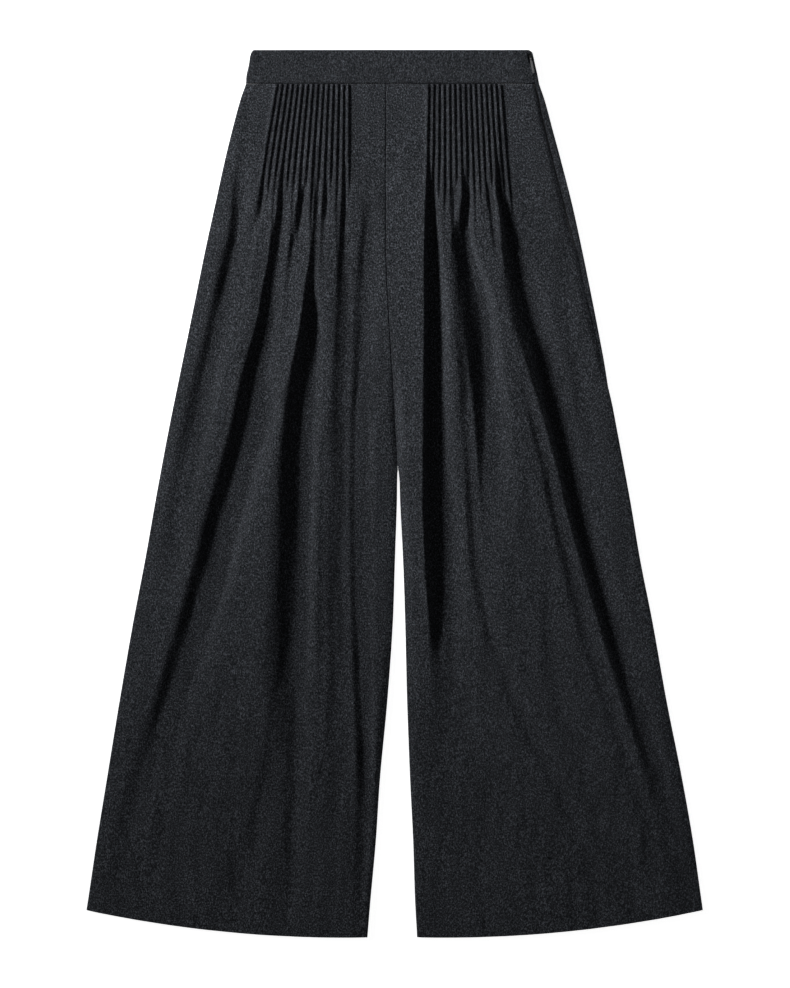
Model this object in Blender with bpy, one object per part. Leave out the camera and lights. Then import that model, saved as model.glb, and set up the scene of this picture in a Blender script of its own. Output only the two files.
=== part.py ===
"""Palazzo trousers laid flat on their back, front side up.

X runs across the garment, Y runs from the hems up to the waist and Z is its thickness, with the
surface it lies on at Z = 0. Sizes in this file are in millimetres and become metres when a mesh is
made. Two words are used all through it: a drop is the distance down from the waist's top edge, and
a place across is X, the distance from the middle of the garment. The wearer's right leg lies at -X.
"""

import math
from collections import namedtuple

import bmesh
import bpy
import numpy as np

MM = 0.001

# ---- Driving sizes ----
LENGTH = 1088.0  # waist edge to the lowest point of the hems
BAND_DROP = 41.5  # waistband height
FORK_DROP = 515.0  # where the legs part
SEAM_GAP = 0.3  # between two pieces that are sewn together

CLOTH = 1.1  # one layer of flannel
BAND_CLOTH = 2.0  # the doubled front waistband
BAND_BACK = 1.6  # the doubled back waistband
HEM_CLOTH = 2.2  # the front panel where its hem is turned up
HEM_BACK = 2.0  # the back panel where its hem is turned up
HEM_ALLOWANCE = 42.0
HEM_APEX = 61.0  # place across of each hem's lowest point
HEM_RISE = 33.5  # how much higher the hem is at the side seam
HEM_REACH = 316.0  # how far across that is from the lowest point

EDGE_ROLL = 3.0  # width of the rounded edge of a panel
EDGE_FALLS = {"right": (18.0, 12.0), "left": (12.0, 14.0)}  # widths over which a front comes down
SIDE_HEIGHT = 3.6  # height of the cloth just inside a rolled edge
LIP_HEIGHT = 4.4  # height of the back's lip along the zip side
BAND_SIDE_HEIGHT = 4.0
BAND_HEIGHT = 5.2  # height of the front waistband over the surface it lies on
HEM_HEIGHT = 4.8
BACK_INSET = 1.7  # the front wraps down outside the back's edge by this
LIP_FOOT = 2.2  # the back lies flat as far as this from the lip's outer side
LIP_BEVEL = 0.8  # the lip's rounded corners
LIP_WALL = 1.3  # thickness of the lip where it stands up
LIP_INNER_BEVEL = 0.4

TUCKS = 15
TUCK_HEIGHT = 1.8
TUCK_END = 160.0  # drop where the stitching of the tucks ends
TUCK_FADE = 28.0
TUCK_COLUMNS = 2 * TUCKS + 1
OUTER_COLUMNS = 4
INNER_COLUMNS = 7
LEAST_STEP = 1.2  # least distance between two columns of a panel
SHARP = math.radians(60.0)  # edges that turn by more than this are shaded as sharp

CLOTH_COLOUR = (0.022, 0.024, 0.027, 1.0)
BAND_COLOUR = (0.024, 0.026, 0.029, 1.0)
TAPE_COLOUR = (0.008, 0.008, 0.009, 1.0)
METAL_COLOUR = (0.16, 0.16, 0.165, 1.0)

# ---- Outline: place across of each side, at a drop ----
EDGES = (
    # drop, right side (at -X), left side (at +X)
    (0, 173.0, 165.0),
    (2, 175.0, 168.0),
    (7, 177.0, 170.0),
    (17, 178.5, 172.2),
    (32, 181.7, 175.6),
    (42, 182.5, 177.5),
    (52, 186.0, 181.0),
    (61, 189.0, 184.0),
    (98, 199.0, 194.0),
    (135, 208.0, 204.0),
    (190, 220.0, 218.0),
    (245, 232.0, 230.0),
    (319, 247.0, 245.0),
    (392, 262.0, 259.0),
    (466, 277.0, 273.0),
    (552, 293.0, 289.0),
    (626, 306.0, 301.5),
    (699, 320.0, 316.0),
    (797, 337.0, 333.5),
    (895, 353.0, 353.0),
    (969, 365.0, 366.0),
    (1043, 376.0, 376.5),
    (1088, 383.0, 383.0),
)
# X of the seam down the centre, and below the fork of the two inner edges
CENTRE_SEAM = (
    # drop, x
    (0, -10.8),
    (233, -10.8),
    (294, -8.6),
    (362, -4.9),
    (417, -1.8),
    (472, 1.2),
    (515, 4.3),
)
INNER_EDGES = (
    # drop, right leg, left leg
    (515, 3.9, 4.7),
    (522, 3.5, 5.6),
    (552, 3.1, 6.7),
    (626, 0.6, 10.4),
    (699, -1.8, 12.9),
    (797, -8.6, 15.3),
    (895, -17.8, 19.0),
    (969, -22.7, 22.7),
    (1043, -29.4, 25.1),
    (1088, -33.1, 27.6),
)
# How far the back rolls round to the front along the zip side
WRAP = (
    # drop, width
    (0, 2.0),
    (17, 2.15),
    (20, 3.8),
    (32, 4.6),
    (42, 5.0),
    (54, 6.0),
    (76, 8.0),
    (101, 8.6),
    (150, 9.6),
    (202, 9.2),
    (255, 6.7),
    (307, 6.1),
    (362, 3.7),
    (429, 2.6),
    (515, 2.4),
    (1088, 2.4),
)
# Heights down the garment: the least height of the front, how far its highest folds stand over
# that, and the height of the centre seam
HEIGHTS = (
    # drop, floor, crest, seam
    (0, 4.4, 0.4, 5.0),
    (42, 4.4, 0.5, 4.9),
    (100, 4.4, 1.0, 5.0),
    (126, 4.4, 1.9, 5.4),
    (150, 4.4, 3.9, 5.9),
    (170, 4.4, 6.2, 6.6),
    (190, 4.2, 8.2, 7.4),
    (221, 3.9, 10.4, 8.0),
    (258, 3.5, 12.0, 8.4),
    (331, 3.0, 13.8, 8.2),
    (454, 3.0, 14.4, 6.4),
    (500, 3.0, 14.2, 4.6),
    (515, 3.0, 14.0, 3.8),
    (576, 3.0, 13.4, 3.6),
    (699, 3.0, 11.2, 3.6),
    (822, 3.0, 9.0, 3.6),
    (883, 3.0, 7.6, 3.6),
    (944, 3.2, 5.6, 3.6),
    (1020, 4.0, 3.8, 4.0),
    (1046, 4.8, 3.0, 4.8),
    (1088, 4.8, 2.6, 4.8),
)
# X of the first and last tuck's ridge
TUCK_LINES = {
    # drop, lowest x, highest x
    "right": ((42, -144.7, -57.0), (152, -162.5, -57.0), (190, -166.5, -57.5)),
    "left": ((42, 41.1, 129.4), (152, 38.6, 138.0), (190, 36.8, 142.0)),
}

# ---- Folds of the front. A fold falls on its low-x side and rises on its high-x side ----
# A main fold's depth is the share of the way down to the floor; a minor fold's is in millimetres.
MAIN_FOLDS = {
    "right": {
        "outer_band": (
            # drop, x, depth, fall, floor, rise
            (126, -137, 0.0, 5, 1, 6),
            (172, -138, 0.5, 6, 1, 7),
            (190, -138, 0.55, 7, 1, 8),
            (221, -142, 0.55, 8, 1, 13),
            (258, -147, 0.5, 9, 1, 17),
            (294, -152, 0.72, 10, 3, 20),
            (331, -156, 0.9, 11, 6, 22),
            (392, -164, 0.95, 17, 14, 22),
            (454, -172, 1.0, 20, 22, 24),
            (515, -190, 1.0, 20, 18, 26),
            (576, -207, 0.98, 20, 18, 28),
            (638, -224, 0.95, 20, 16, 30),
            (699, -242, 0.95, 20, 14, 32),
            (760, -260, 0.95, 22, 13, 34),
            (822, -280, 0.85, 24, 12, 34),
            (883, -302, 0.65, 22, 10, 32),
            (944, -324, 0.35, 18, 7, 28),
            (1006, -345, 0.15, 12, 4, 22),
            (1061, -358, 0.05, 8, 3, 16),
        ),
        "middle_band": (
            (126, -95, 0.0, 4, 1, 5),
            (172, -95, 0.5, 4, 1, 5),
            (221, -96, 0.3, 5, 1, 6),
            (258, -99, 0.35, 6, 1, 7),
            (294, -101, 0.7, 10, 2, 9),
            (331, -101, 0.95, 11, 8, 14),
            (392, -105, 1.0, 18, 13, 14),
            (454, -108, 1.0, 28, 14, 14),
            (515, -109, 1.0, 36, 12, 13),
            (576, -110, 1.0, 40, 11, 13),
            (638, -112, 1.0, 42, 10, 14),
            (699, -113, 1.0, 44, 9, 15),
            (760, -115, 0.95, 44, 10, 16),
            (822, -118, 0.8, 42, 10, 19),
            (883, -127, 0.5, 38, 10, 25),
            (944, -131, 0.35, 30, 10, 27),
            (1006, -134, 0.22, 24, 10, 28),
            (1061, -138, 0.12, 20, 10, 30),
        ),
        "inner_band": (
            (126, -59, 0.0, 5, 1, 5),
            (172, -60, 0.6, 5, 1, 6),
            (221, -60, 0.55, 8, 2, 8),
            (258, -62, 0.4, 8, 2, 16),
            (331, -64, 0.32, 11, 3, 22),
            (392, -66, 0.32, 12, 3, 22),
            (454, -68, 0.34, 12, 3, 22),
            (576, -69, 0.38, 13, 4, 20),
            (699, -69, 0.45, 14, 5, 18),
            (760, -68, 0.52, 15, 5, 16),
            (822, -65, 0.6, 20, 6, 15),
            (883, -65, 0.35, 18, 6, 15),
            (944, -69, 0.15, 14, 6, 14),
            (1061, -66, 0.05, 14, 6, 14),
        ),
    },
    "left": {
        "inner_band": (
            # drop, x, depth, fall, floor, rise
            (126, 44, 0.0, 4, 1, 5),
            (168, 45, 0.85, 5, 3, 6),
            (184, 45, 0.92, 5, 5, 7),
            (221, 45, 1.0, 5, 7, 9),
            (258, 46, 1.0, 6, 9, 13),
            (331, 48, 1.0, 6, 12, 16),
            (392, 48, 1.0, 6, 13, 18),
            (454, 49, 1.0, 6, 15, 19),
            (515, 50, 1.0, 7, 16, 20),
            (576, 54, 1.0, 8, 23, 22),
            (638, 57, 0.97, 9, 22, 24),
            (699, 62, 0.85, 11, 20, 26),
            (748, 64, 0.5, 16, 12, 28),
            (822, 68, 0.25, 20, 10, 28),
            (908, 72, 0.12, 20, 10, 28),
            (1061, 82, 0.06, 20, 10, 28),
        ),
        "middle_band": (
            (126, 88, 0.0, 4, 1, 5),
            (172, 88, 0.7, 4, 2, 6),
            (196, 88, 0.9, 5, 3, 7),
            (221, 88, 1.0, 5, 4, 8),
            (258, 90, 1.0, 7, 8, 11),
            (294, 99, 1.0, 20, 17, 14),
            (331, 108, 1.0, 26, 15, 16),
            (362, 113, 1.0, 28, 14, 17),
            (392, 113, 1.0, 15, 16, 18),
            (423, 116, 0.9, 12, 18, 20),
            (454, 117, 0.75, 11, 16, 22),
            (515, 118, 0.55, 10, 14, 26),
            (576, 117, 0.34, 9, 11, 26),
            (638, 116, 0.12, 10, 6, 22),
            (699, 120, 0.04, 10, 6, 22),
            (1061, 150, 0.0, 12, 6, 22),
        ),
        "outer_band": (
            (126, 127, 0.0, 4, 1, 5),
            (172, 128, 0.85, 5, 1, 5),
            (190, 133, 0.95, 6, 2, 6),
            (221, 139, 1.0, 6, 4, 9),
            (245, 147, 1.0, 9, 12, 10),
            (258, 151, 1.0, 12, 14, 12),
            (294, 163, 1.0, 20, 20, 14),
            (331, 172, 1.0, 22, 19, 16),
            (362, 179, 1.0, 15, 17, 17),
            (417, 191, 1.0, 13, 14, 19),
            (466, 204, 1.0, 12, 14, 19),
            (515, 217, 1.0, 12, 14, 20),
            (576, 231, 1.0, 12, 14, 21),
            (638, 248, 1.0, 12, 13, 23),
            (699, 265, 0.95, 12, 12, 24),
            (742, 278, 0.88, 13, 11, 25),
            (785, 291, 0.78, 14, 10, 24),
            (828, 304, 0.66, 15, 10, 20),
            (871, 318, 0.55, 15, 9, 17),
            (914, 329, 0.42, 14, 8, 14),
            (957, 338, 0.32, 13, 6, 12),
            (1006, 345, 0.22, 12, 4, 10),
            (1061, 352, 0.15, 10, 4, 8),
        ),
    },
}
MINOR_FOLDS = {
    "right": {
        "side_dip": (
            # drop, x, depth, fall, floor, rise
            (61, -179, 0.6, 10, 2, 12),
            (135, -186, 1.3, 10, 2, 11),
            (172, -189, 3.4, 11, 2, 16),
            (221, -192, 4.8, 12, 2, 22),
            (258, -199, 5.4, 13, 3, 26),
            (294, -206, 5.8, 15, 4, 28),
            (331, -213, 6.2, 16, 5, 30),
            (392, -225, 7.0, 21, 4, 20),
            (454, -237, 5.8, 24, 6, 18),
            (515, -251, 4.2, 25, 7, 18),
            (576, -260, 3.2, 24, 6, 16),
            (640, -274, 1.6, 22, 5, 15),
            (700, -288, 0.0, 20, 5, 15),
        ),
        "upper_outer": (
            (150, -159, 0.0, 6, 1, 7),
            (172, -161, 2.0, 6, 1, 7),
            (196, -164, 3.2, 9, 1, 8),
            (221, -172, 2.4, 8, 1, 8),
            (258, -180, 1.4, 7, 1, 8),
            (294, -186, 0.8, 7, 1, 8),
            (343, -193, 0.0, 7, 1, 8),
        ),
        "band_foot": (
            (400, -152, 0.0, 8, 4, 12),
            (454, -160, 1.4, 9, 4, 16),
            (515, -180, 2.0, 10, 4, 18),
            (576, -197, 2.0, 10, 4, 20),
            (638, -213, 2.0, 10, 4, 20),
            (699, -233, 1.8, 10, 4, 20),
            (760, -255, 1.2, 10, 4, 20),
            (822, -272, 0.0, 10, 4, 20),
        ),
        "upper_middle": (
            (157, -106, 0.0, 5, 1, 6),
            (172, -111, 2.0, 5, 1, 7),
            (202, -116, 3.2, 7, 1, 8),
            (221, -118, 3.0, 8, 1, 16),
            (258, -126, 2.8, 9, 1, 20),
            (294, -128, 2.6, 10, 1, 20),
            (331, -130, 2.2, 9, 1, 13),
            (400, -140, 0.0, 7, 1, 9),
        ),
        "upper_inner": (
            (150, -80, 0.0, 4, 1, 4),
            (172, -82, 2.0, 5, 1, 5),
            (196, -84, 2.6, 6, 1, 6),
            (221, -86, 1.8, 7, 1, 8),
            (258, -86, 1.0, 7, 1, 7),
            (290, -87, 0.0, 7, 1, 7),
        ),
        "beside_centre": (
            (178, -34, 0.0, 9, 2, 10),
            (202, -31, 2.0, 9, 3, 10),
            (258, -34, 3.0, 11, 4, 15),
            (331, -37, 3.4, 13, 5, 18),
            (392, -39, 3.4, 13, 5, 18),
            (454, -41, 3.6, 13, 5, 18),
            (576, -40, 3.8, 14, 6, 16),
            (699, -38, 4.2, 14, 6, 13),
            (822, -35, 4.2, 13, 6, 10),
            (883, -34, 3.8, 11, 5, 8),
            (944, -35, 2.8, 12, 5, 6),
            (1006, -38, 1.8, 10, 3, 5),
            (1061, -43, 0.6, 9, 3, 6),
        ),
        "lower_middle": (
            (736, -113, 0.0, 10, 2, 10),
            (822, -117, 1.6, 13, 3, 13),
            (883, -119, 2.0, 15, 3, 14),
            (944, -121, 1.9, 18, 3, 15),
            (1006, -127, 1.3, 16, 3, 15),
            (1061, -132, 0.8, 14, 3, 14),
        ),
        "lower_outer": (
            (560, -194, 0.0, 9, 2, 10),
            (638, -206, 1.2, 9, 2, 10),
            (742, -239, 0.8, 10, 2, 11),
            (828, -259, 0.8, 11, 2, 12),
            (920, -282, 0.8, 11, 2, 12),
            (1006, -292, 0.7, 11, 2, 12),
            (1061, -297, 0.5, 11, 2, 12),
        ),
        "hem_fan": (
            (840, -150, 0.0, 18, 4, 15),
            (883, -152, 1.3, 20, 4, 16),
            (944, -162, 1.5, 20, 5, 18),
            (1006, -186, 1.5, 30, 5, 24),
            (1061, -202, 1.0, 30, 5, 26),
        ),
    },
    "left": {
        "upper_inner": (
            (157, 74, 0.0, 4, 1, 4),
            (172, 74, 2.2, 4, 1, 4),
            (221, 74, 2.4, 4, 1, 5),
            (245, 74, 1.4, 5, 1, 5),
            (276, 74, 0.0, 5, 1, 5),
        ),
        "upper_outer": (
            (157, 116, 0.0, 4, 1, 5),
            (172, 117, 2.4, 4, 1, 5),
            (221, 122, 2.6, 5, 1, 6),
            (260, 127, 0.9, 6, 1, 6),
            (282, 129, 0.0, 6, 1, 6),
        ),
        "diagonal": (
            (343, 79, 0.2, 9, 2, 6),
            (392, 85, 1.9, 9, 2, 6),
            (454, 90, 2.4, 9, 2, 7),
            (515, 94, 2.5, 9, 2, 8),
            (576, 98, 2.5, 10, 2, 9),
            (638, 103, 2.3, 10, 3, 10),
            (699, 117, 1.9, 12, 4, 12),
            (742, 129, 1.7, 12, 4, 13),
            (785, 144, 1.6, 12, 4, 14),
            (828, 162, 1.4, 12, 4, 14),
            (871, 184, 1.3, 12, 4, 15),
            (914, 206, 1.1, 12, 4, 15),
            (969, 228, 0.8, 12, 4, 15),
            (1061, 254, 0.6, 12, 4, 15),
        ),
        "beside_outer": (
            (405, 160, 0.0, 10, 2, 6),
            (442, 169, 2.2, 10, 2, 18),
            (515, 188, 2.8, 10, 2, 24),
            (576, 201, 2.9, 11, 2, 26),
            (638, 217, 2.8, 13, 2, 28),
            (699, 234, 2.4, 14, 3, 28),
            (760, 253, 1.9, 14, 4, 24),
            (828, 274, 1.4, 13, 4, 12),
            (920, 301, 0.8, 12, 4, 12),
            (1006, 322, 0.4, 12, 4, 12),
        ),
        "side_soft": (
            (150, 205, 0.0, 8, 2, 10),
            (202, 212, 0.9, 8, 2, 10),
            (331, 213, 0.9, 10, 2, 12),
            (417, 227, 0.6, 10, 3, 12),
            (491, 240, 0.0, 10, 3, 12),
        ),
        "long_fan": (
            (650, 176, 0.0, 14, 5, 18),
            (699, 193, 0.8, 16, 5, 18),
            (785, 200, 0.5, 16, 5, 18),
            (914, 240, 0.5, 16, 5, 20),
            (1061, 300, 0.4, 16, 5, 20),
        ),
        "hem_fan": (
            (880, 108, 0.0, 14, 4, 16),
            (960, 111, 0.7, 14, 4, 16),
            (1061, 118, 0.8, 14, 4, 16),
        ),
    },
}
# Height of the cloth between the main folds, as shares of the crest: for each stretch from low x
# to high x, at its low-x end and at its high-x end
SWELLS = {
    "right": (
        # drop, side to outer band, outer to middle, middle to inner, inner to centre
        (190, 0.32, 0.72, 0.50, 0.66, 0.62, 0.60, 0.50, 0.45),
        (258, 0.30, 0.68, 0.42, 0.66, 0.54, 0.56, 0.34, 0.34),
        (331, 0.18, 0.66, 0.34, 0.94, 0.44, 0.50, 0.24, 0.26),
        (392, 0.22, 0.74, 0.34, 1.10, 0.38, 0.46, 0.22, 0.24),
        (454, 0.24, 0.82, 0.32, 1.34, 0.34, 0.44, 0.18, 0.20),
        (515, 0.24, 0.82, 0.33, 1.46, 0.33, 0.42, 0.16, 0.14),
        (576, 0.22, 0.80, 0.34, 1.50, 0.34, 0.42, 0.16, 0.12),
        (638, 0.22, 0.80, 0.32, 1.52, 0.36, 0.44, 0.18, 0.14),
        (699, 0.22, 0.82, 0.30, 1.52, 0.38, 0.46, 0.24, 0.18),
        (760, 0.25, 0.84, 0.32, 1.30, 0.43, 0.50, 0.36, 0.30),
        (822, 0.28, 0.85, 0.34, 1.04, 0.48, 0.55, 0.48, 0.42),
        (944, 0.30, 0.75, 0.42, 0.85, 0.58, 0.60, 0.58, 0.48),
        (1088, 0.30, 0.70, 0.50, 0.75, 0.60, 0.60, 0.60, 0.50),
    ),
    "left": (
        # drop, centre to inner band, inner to middle, middle to outer, outer to side
        (190, 0.40, 0.95, 0.42, 0.75, 0.36, 0.95, 0.14, 0.10),
        (258, 0.38, 0.95, 0.44, 0.98, 0.52, 1.12, 0.14, 0.10),
        (331, 0.45, 0.88, 0.54, 1.20, 0.76, 1.18, 0.14, 0.10),
        (362, 0.48, 0.88, 0.54, 1.20, 0.80, 1.08, 0.14, 0.10),
        (400, 0.50, 0.88, 0.46, 1.02, 0.76, 0.98, 0.14, 0.10),
        (454, 0.54, 0.90, 0.40, 0.86, 0.76, 0.94, 0.14, 0.10),
        (515, 0.60, 1.02, 0.40, 0.74, 0.80, 0.92, 0.14, 0.10),
        (576, 0.55, 1.22, 0.38, 0.64, 0.84, 0.92, 0.14, 0.10),
        (638, 0.55, 1.28, 0.40, 0.64, 0.85, 0.92, 0.16, 0.10),
        (699, 0.55, 1.12, 0.42, 0.64, 0.84, 0.92, 0.20, 0.12),
        (860, 0.50, 0.60, 0.55, 0.65, 0.75, 0.88, 0.35, 0.20),
        (1088, 0.50, 0.50, 0.60, 0.65, 0.68, 0.80, 0.40, 0.25),
    ),
}
# Column of a panel that runs down the middle of each main fold, and the columns that go on below
# the tucks
FOLD_COLUMNS = {"right": (12, 22, 32), "left": (9, 21, 33)}
KEPT_COLUMNS = {
    "right": (0, 2, 4, 6, 8, 10, 11, 12, 13, 14, 16, 18, 20, 21, 22, 23, 24, 27, 30, 31, 32, 33,
              34, 35, 36, 37, 38, 39, 40, 41),
    "left": (0, 1, 2, 3, 5, 7, 8, 9, 10, 11, 13, 15, 17, 19, 20, 21, 22, 23, 25, 27, 29, 31, 32,
             33, 34, 35, 37, 39, 41),
}
LAST_COLUMN = OUTER_COLUMNS + TUCK_COLUMNS - 1 + INNER_COLUMNS

TUCK_ROWS = (41.65, 60, 85, 110, 132, 150, 160, 170, 180)
FOLD_ROWS = (190, 204, 222, 240, 260, 282, 306, 332, 360, 390, 420, 450, 480, 502, 514, 518, 534,
             560, 590, 622, 656, 692, 730, 770, 812, 855, 900, 945, 990, 1030, 1044, 1050, 1070,
             1086, 1088)

# ---- Side zip ----
ZIP_START, ZIP_END = 17.2, 245.0
TAPE_BOTTOM, TAPE_TOP = 1.9, 2.9
TAPE_IN, TAPE_OUT = 12.0, 0.7  # the tape's reach to each side of the seam
CHAIN_HALF, CHAIN_TOP = 1.6, 3.1
NOTCH_START, NOTCH_END, NOTCH_DEPTH = 5.2, 16.8, 4.5  # where the slider comes out of the seam
PIN_X, PIN_DROP, PIN_Z = 166.8, 11.0, 6.3
TAB_LEAN = math.radians(11.5)  # the tab follows the seam, which leans outwards as it goes down
PIN_RADIUS = 0.42
KNUCKLE_BORE, KNUCKLE_RADIUS, KNUCKLE_WIDTH = 0.56, 0.95, 1.4
EAR_RADIUS, EAR_THICK, EAR_GAP = 1.0, 0.5, 0.15
SLIDER_WIDTH, SLIDER_LENGTH = 2.7, 9.6
SLIDER_BOTTOM, SLIDER_TOP = 1.9, 4.9
TAB_LENGTH, TAB_WIDTH, TAB_THICK, TAB_BOTTOM = 18.0, 2.4, 0.8, 5.5
TAB_NECK, TAB_SHOULDER = 1.7, 4.2  # distances from the pin where the tab begins to widen and ends

Row = namedtuple("Row", "outer inner outer_keys inner_keys")


def ease(t):
    """0 below 0 and 1 above 1, with a smooth step between."""
    t = np.clip(t, 0.0, 1.0)
    return t * t * (3.0 - 2.0 * t)


def curve(table, column, drop):
    """One column of a table at a drop, on a smooth line that never overshoots its rows."""
    knots = np.array([row[0] for row in table], float)
    values = np.array([row[column] for row in table], float)
    steps = np.diff(knots)
    slopes = np.diff(values) / steps
    tangents = np.concatenate([slopes[:1], (slopes[:-1] + slopes[1:]) / 2.0, slopes[-1:]])
    turns = np.concatenate([[False], slopes[:-1] * slopes[1:] <= 0.0, [False]])
    tangents[turns] = 0.0
    least = np.minimum(
        np.abs(np.concatenate([slopes[:1], slopes])), np.abs(np.concatenate([slopes, slopes[-1:]]))
    )
    tangents = np.clip(tangents, -3.0 * least, 3.0 * least)
    drop = np.clip(drop, knots[0], knots[-1])
    at = np.clip(np.searchsorted(knots, drop, side="right") - 1, 0, len(steps) - 1)
    t = (drop - knots[at]) / steps[at]
    start = values[at] * (1 + 2 * t) * (1 - t) ** 2 + tangents[at] * steps[at] * t * (1 - t) ** 2
    end = values[at + 1] * t * t * (3 - 2 * t) + tangents[at + 1] * steps[at] * t * t * (t - 1)
    return start + end


def side_edge(leg, drop):
    """X of the garment's outer edge."""
    return -curve(EDGES, 1, drop) if leg == "right" else curve(EDGES, 2, drop)


def inner_edge(leg, drop):
    """X of the centre seam above the fork and of the leg's inner edge below it."""
    seam = curve(CENTRE_SEAM, 1, drop) + (-0.5 if leg == "right" else 0.5) * SEAM_GAP
    return np.where(drop < FORK_DROP, seam, curve(INNER_EDGES, 1 if leg == "right" else 2, drop))


def zip_seam(drop):
    """X of the side seam that holds the zip, in the front."""
    return side_edge("left", drop) - curve(WRAP, 1, drop)


def hem_lift(x, row):
    """How much higher than its nominal drop a point of this row is: the rows bend into the hem."""
    bend = ease((row - FORK_DROP) / (LENGTH - FORK_DROP)) if row > FORK_DROP else 0.0
    return bend * HEM_RISE * ((np.abs(x) - HEM_APEX) / HEM_REACH) ** 2


def settled(edge, row):
    """X of an edge on a bent row, where the edge depends on the drop and the drop on the edge."""
    x = edge(row)
    for _ in range(4):
        x = edge(row - hem_lift(x, row))
    return float(x)


def trough(x, drop, table):
    """1 on the floor of a fold and 0 outside it."""
    u = x - curve(table, 1, drop)
    half = curve(table, 4, drop) / 2.0
    fall = ease((-half - u) / curve(table, 3, drop))
    rise = ease((u - half) / curve(table, 5, drop))
    return 1.0 - fall - rise


def in_range(drop, table):
    """Fades a fold out where its table ends short of the hem."""
    last = table[-1][0]
    return 1.0 if last > LENGTH - 60.0 else 1.0 - ease((drop - last) / 40.0)


def front_height(leg, x, drop):
    """Height of the front's outer surface without its tucks."""
    floor = curve(HEIGHTS, 1, drop)
    crest = curve(HEIGHTS, 2, drop)
    folds = list(MAIN_FOLDS[leg].values())
    low, high = sorted_edges(leg, drop)
    bounds = [low] + [curve(table, 1, drop) for table in folds] + [high]
    share = 0.0
    for number in range(len(bounds) - 1):
        start = curve(SWELLS[leg], 2 * number + 1, drop)
        end = curve(SWELLS[leg], 2 * number + 2, drop)
        across = np.clip((x - bounds[number]) / (bounds[number + 1] - bounds[number]), 0.0, 1.0)
        swell = start + (end - start) * across
        if number == 0:
            share = swell
            continue
        table = folds[number - 1]
        half = 1.0 + (curve(table, 3, drop) + curve(table, 4, drop)) / 2.0
        into = ease((x - bounds[number] + half) / (2.0 * half))
        share = share * (1.0 - into) + swell * into
    height = floor + crest * share
    for table in folds:
        sunk = curve(table, 2, drop) * trough(x, drop, table)
        height = height * (1.0 - sunk) + floor * sunk
    for table in MINOR_FOLDS[leg].values():
        height = height - curve(table, 2, drop) * trough(x, drop, table) * in_range(drop, table)
    height = np.maximum(height, floor)
    return rolled(leg, x, drop, height)


def sorted_edges(leg, drop):
    """The lowest and the highest X of a front panel."""
    if leg == "right":
        return side_edge(leg, drop), inner_edge(leg, drop)
    return inner_edge(leg, drop), zip_seam(drop) - SEAM_GAP


def edge_heights(leg, drop):
    """Height of a front panel just inside its lowest and its highest X."""
    hem = ease((drop - 1000.0) / 46.0)
    seam = curve(HEIGHTS, 3, drop)
    side = SIDE_HEIGHT + (HEM_HEIGHT - SIDE_HEIGHT) * hem
    if leg == "right":
        return side, seam
    return seam, LIP_HEIGHT + (HEM_HEIGHT - LIP_HEIGHT) * hem


def rolled(leg, x, drop, height):
    """Brings a panel's surface down to its edges."""
    low, high = sorted_edges(leg, drop)
    at_low, at_high = edge_heights(leg, drop)
    near_low, near_high = EDGE_FALLS[leg]
    height = at_low + (height - at_low) * np.sin(np.clip((x - low) / near_low, 0, 1) * math.pi / 2)
    near = np.clip((high - x) / near_high, 0, 1)
    return at_high + (height - at_high) * np.sin(near * math.pi / 2)


def tuck_line(leg, column, drop):
    """X of one of the columns that run along the tucks: even ones are grooves, odd ones ridges."""
    first = curve(TUCK_LINES[leg], 1, drop)
    last = curve(TUCK_LINES[leg], 2, drop)
    return first + (last - first) * (column - 1) / (2.0 * (TUCKS - 1))


def tuck_height(drop):
    """How far the tucks stand over the cloth between them."""
    return TUCK_HEIGHT * (1.0 - ease((drop - TUCK_END) / TUCK_FADE))


def anchors(leg, row, low, high):
    """{column: x} of the columns whose place is known on this row."""
    lead = OUTER_COLUMNS if leg == "right" else INNER_COLUMNS
    spread = float(ease((row - 165.0) / 60.0))
    tucks = {lead + c: float(tuck_line(leg, c, row)) for c in range(TUCK_COLUMNS)}
    if spread == 0.0:
        return {0: low, **tucks, LAST_COLUMN: high}
    found = {0: low, LAST_COLUMN: high}
    for middle, table in zip(FOLD_COLUMNS[leg], MAIN_FOLDS[leg].values()):
        x = float(curve(table, 1, row))
        half = float(curve(table, 4, row)) / 2.0
        fall = float(curve(table, 3, row))
        rise = float(curve(table, 5, row))
        for column, place in zip(
            range(middle - 2, middle + 3),
            (x - half - fall, x - half, x, x + half, x + half + rise),
        ):
            found[column] = place + (tucks[column] - place) * (1.0 - spread)
    if spread < 1.0:
        columns = sorted(found)
        even = np.interp(range(LAST_COLUMN + 1), columns, [found[c] for c in columns])
        for column, place in tucks.items():
            found.setdefault(column, float(even[column] + (place - even[column]) * (1 - spread)))
    return found


def columns_of(leg, row):
    """X of every column of a front panel on one row, from its lowest X to its highest."""
    low = settled(lambda d: sorted_edges(leg, d)[0], row) + EDGE_ROLL
    high = settled(lambda d: sorted_edges(leg, d)[1], row) - EDGE_ROLL
    known = anchors(leg, row, low, high)
    keys = sorted(known)
    x = np.interp(range(LAST_COLUMN + 1), keys, [known[key] for key in keys])
    for column in range(1, LAST_COLUMN + 1):
        x[column] = max(x[column], x[column - 1] + LEAST_STEP)
    x[LAST_COLUMN] = high
    for column in range(LAST_COLUMN - 1, 0, -1):
        x[column] = min(x[column], x[column + 1] - LEAST_STEP)
    return x


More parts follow.
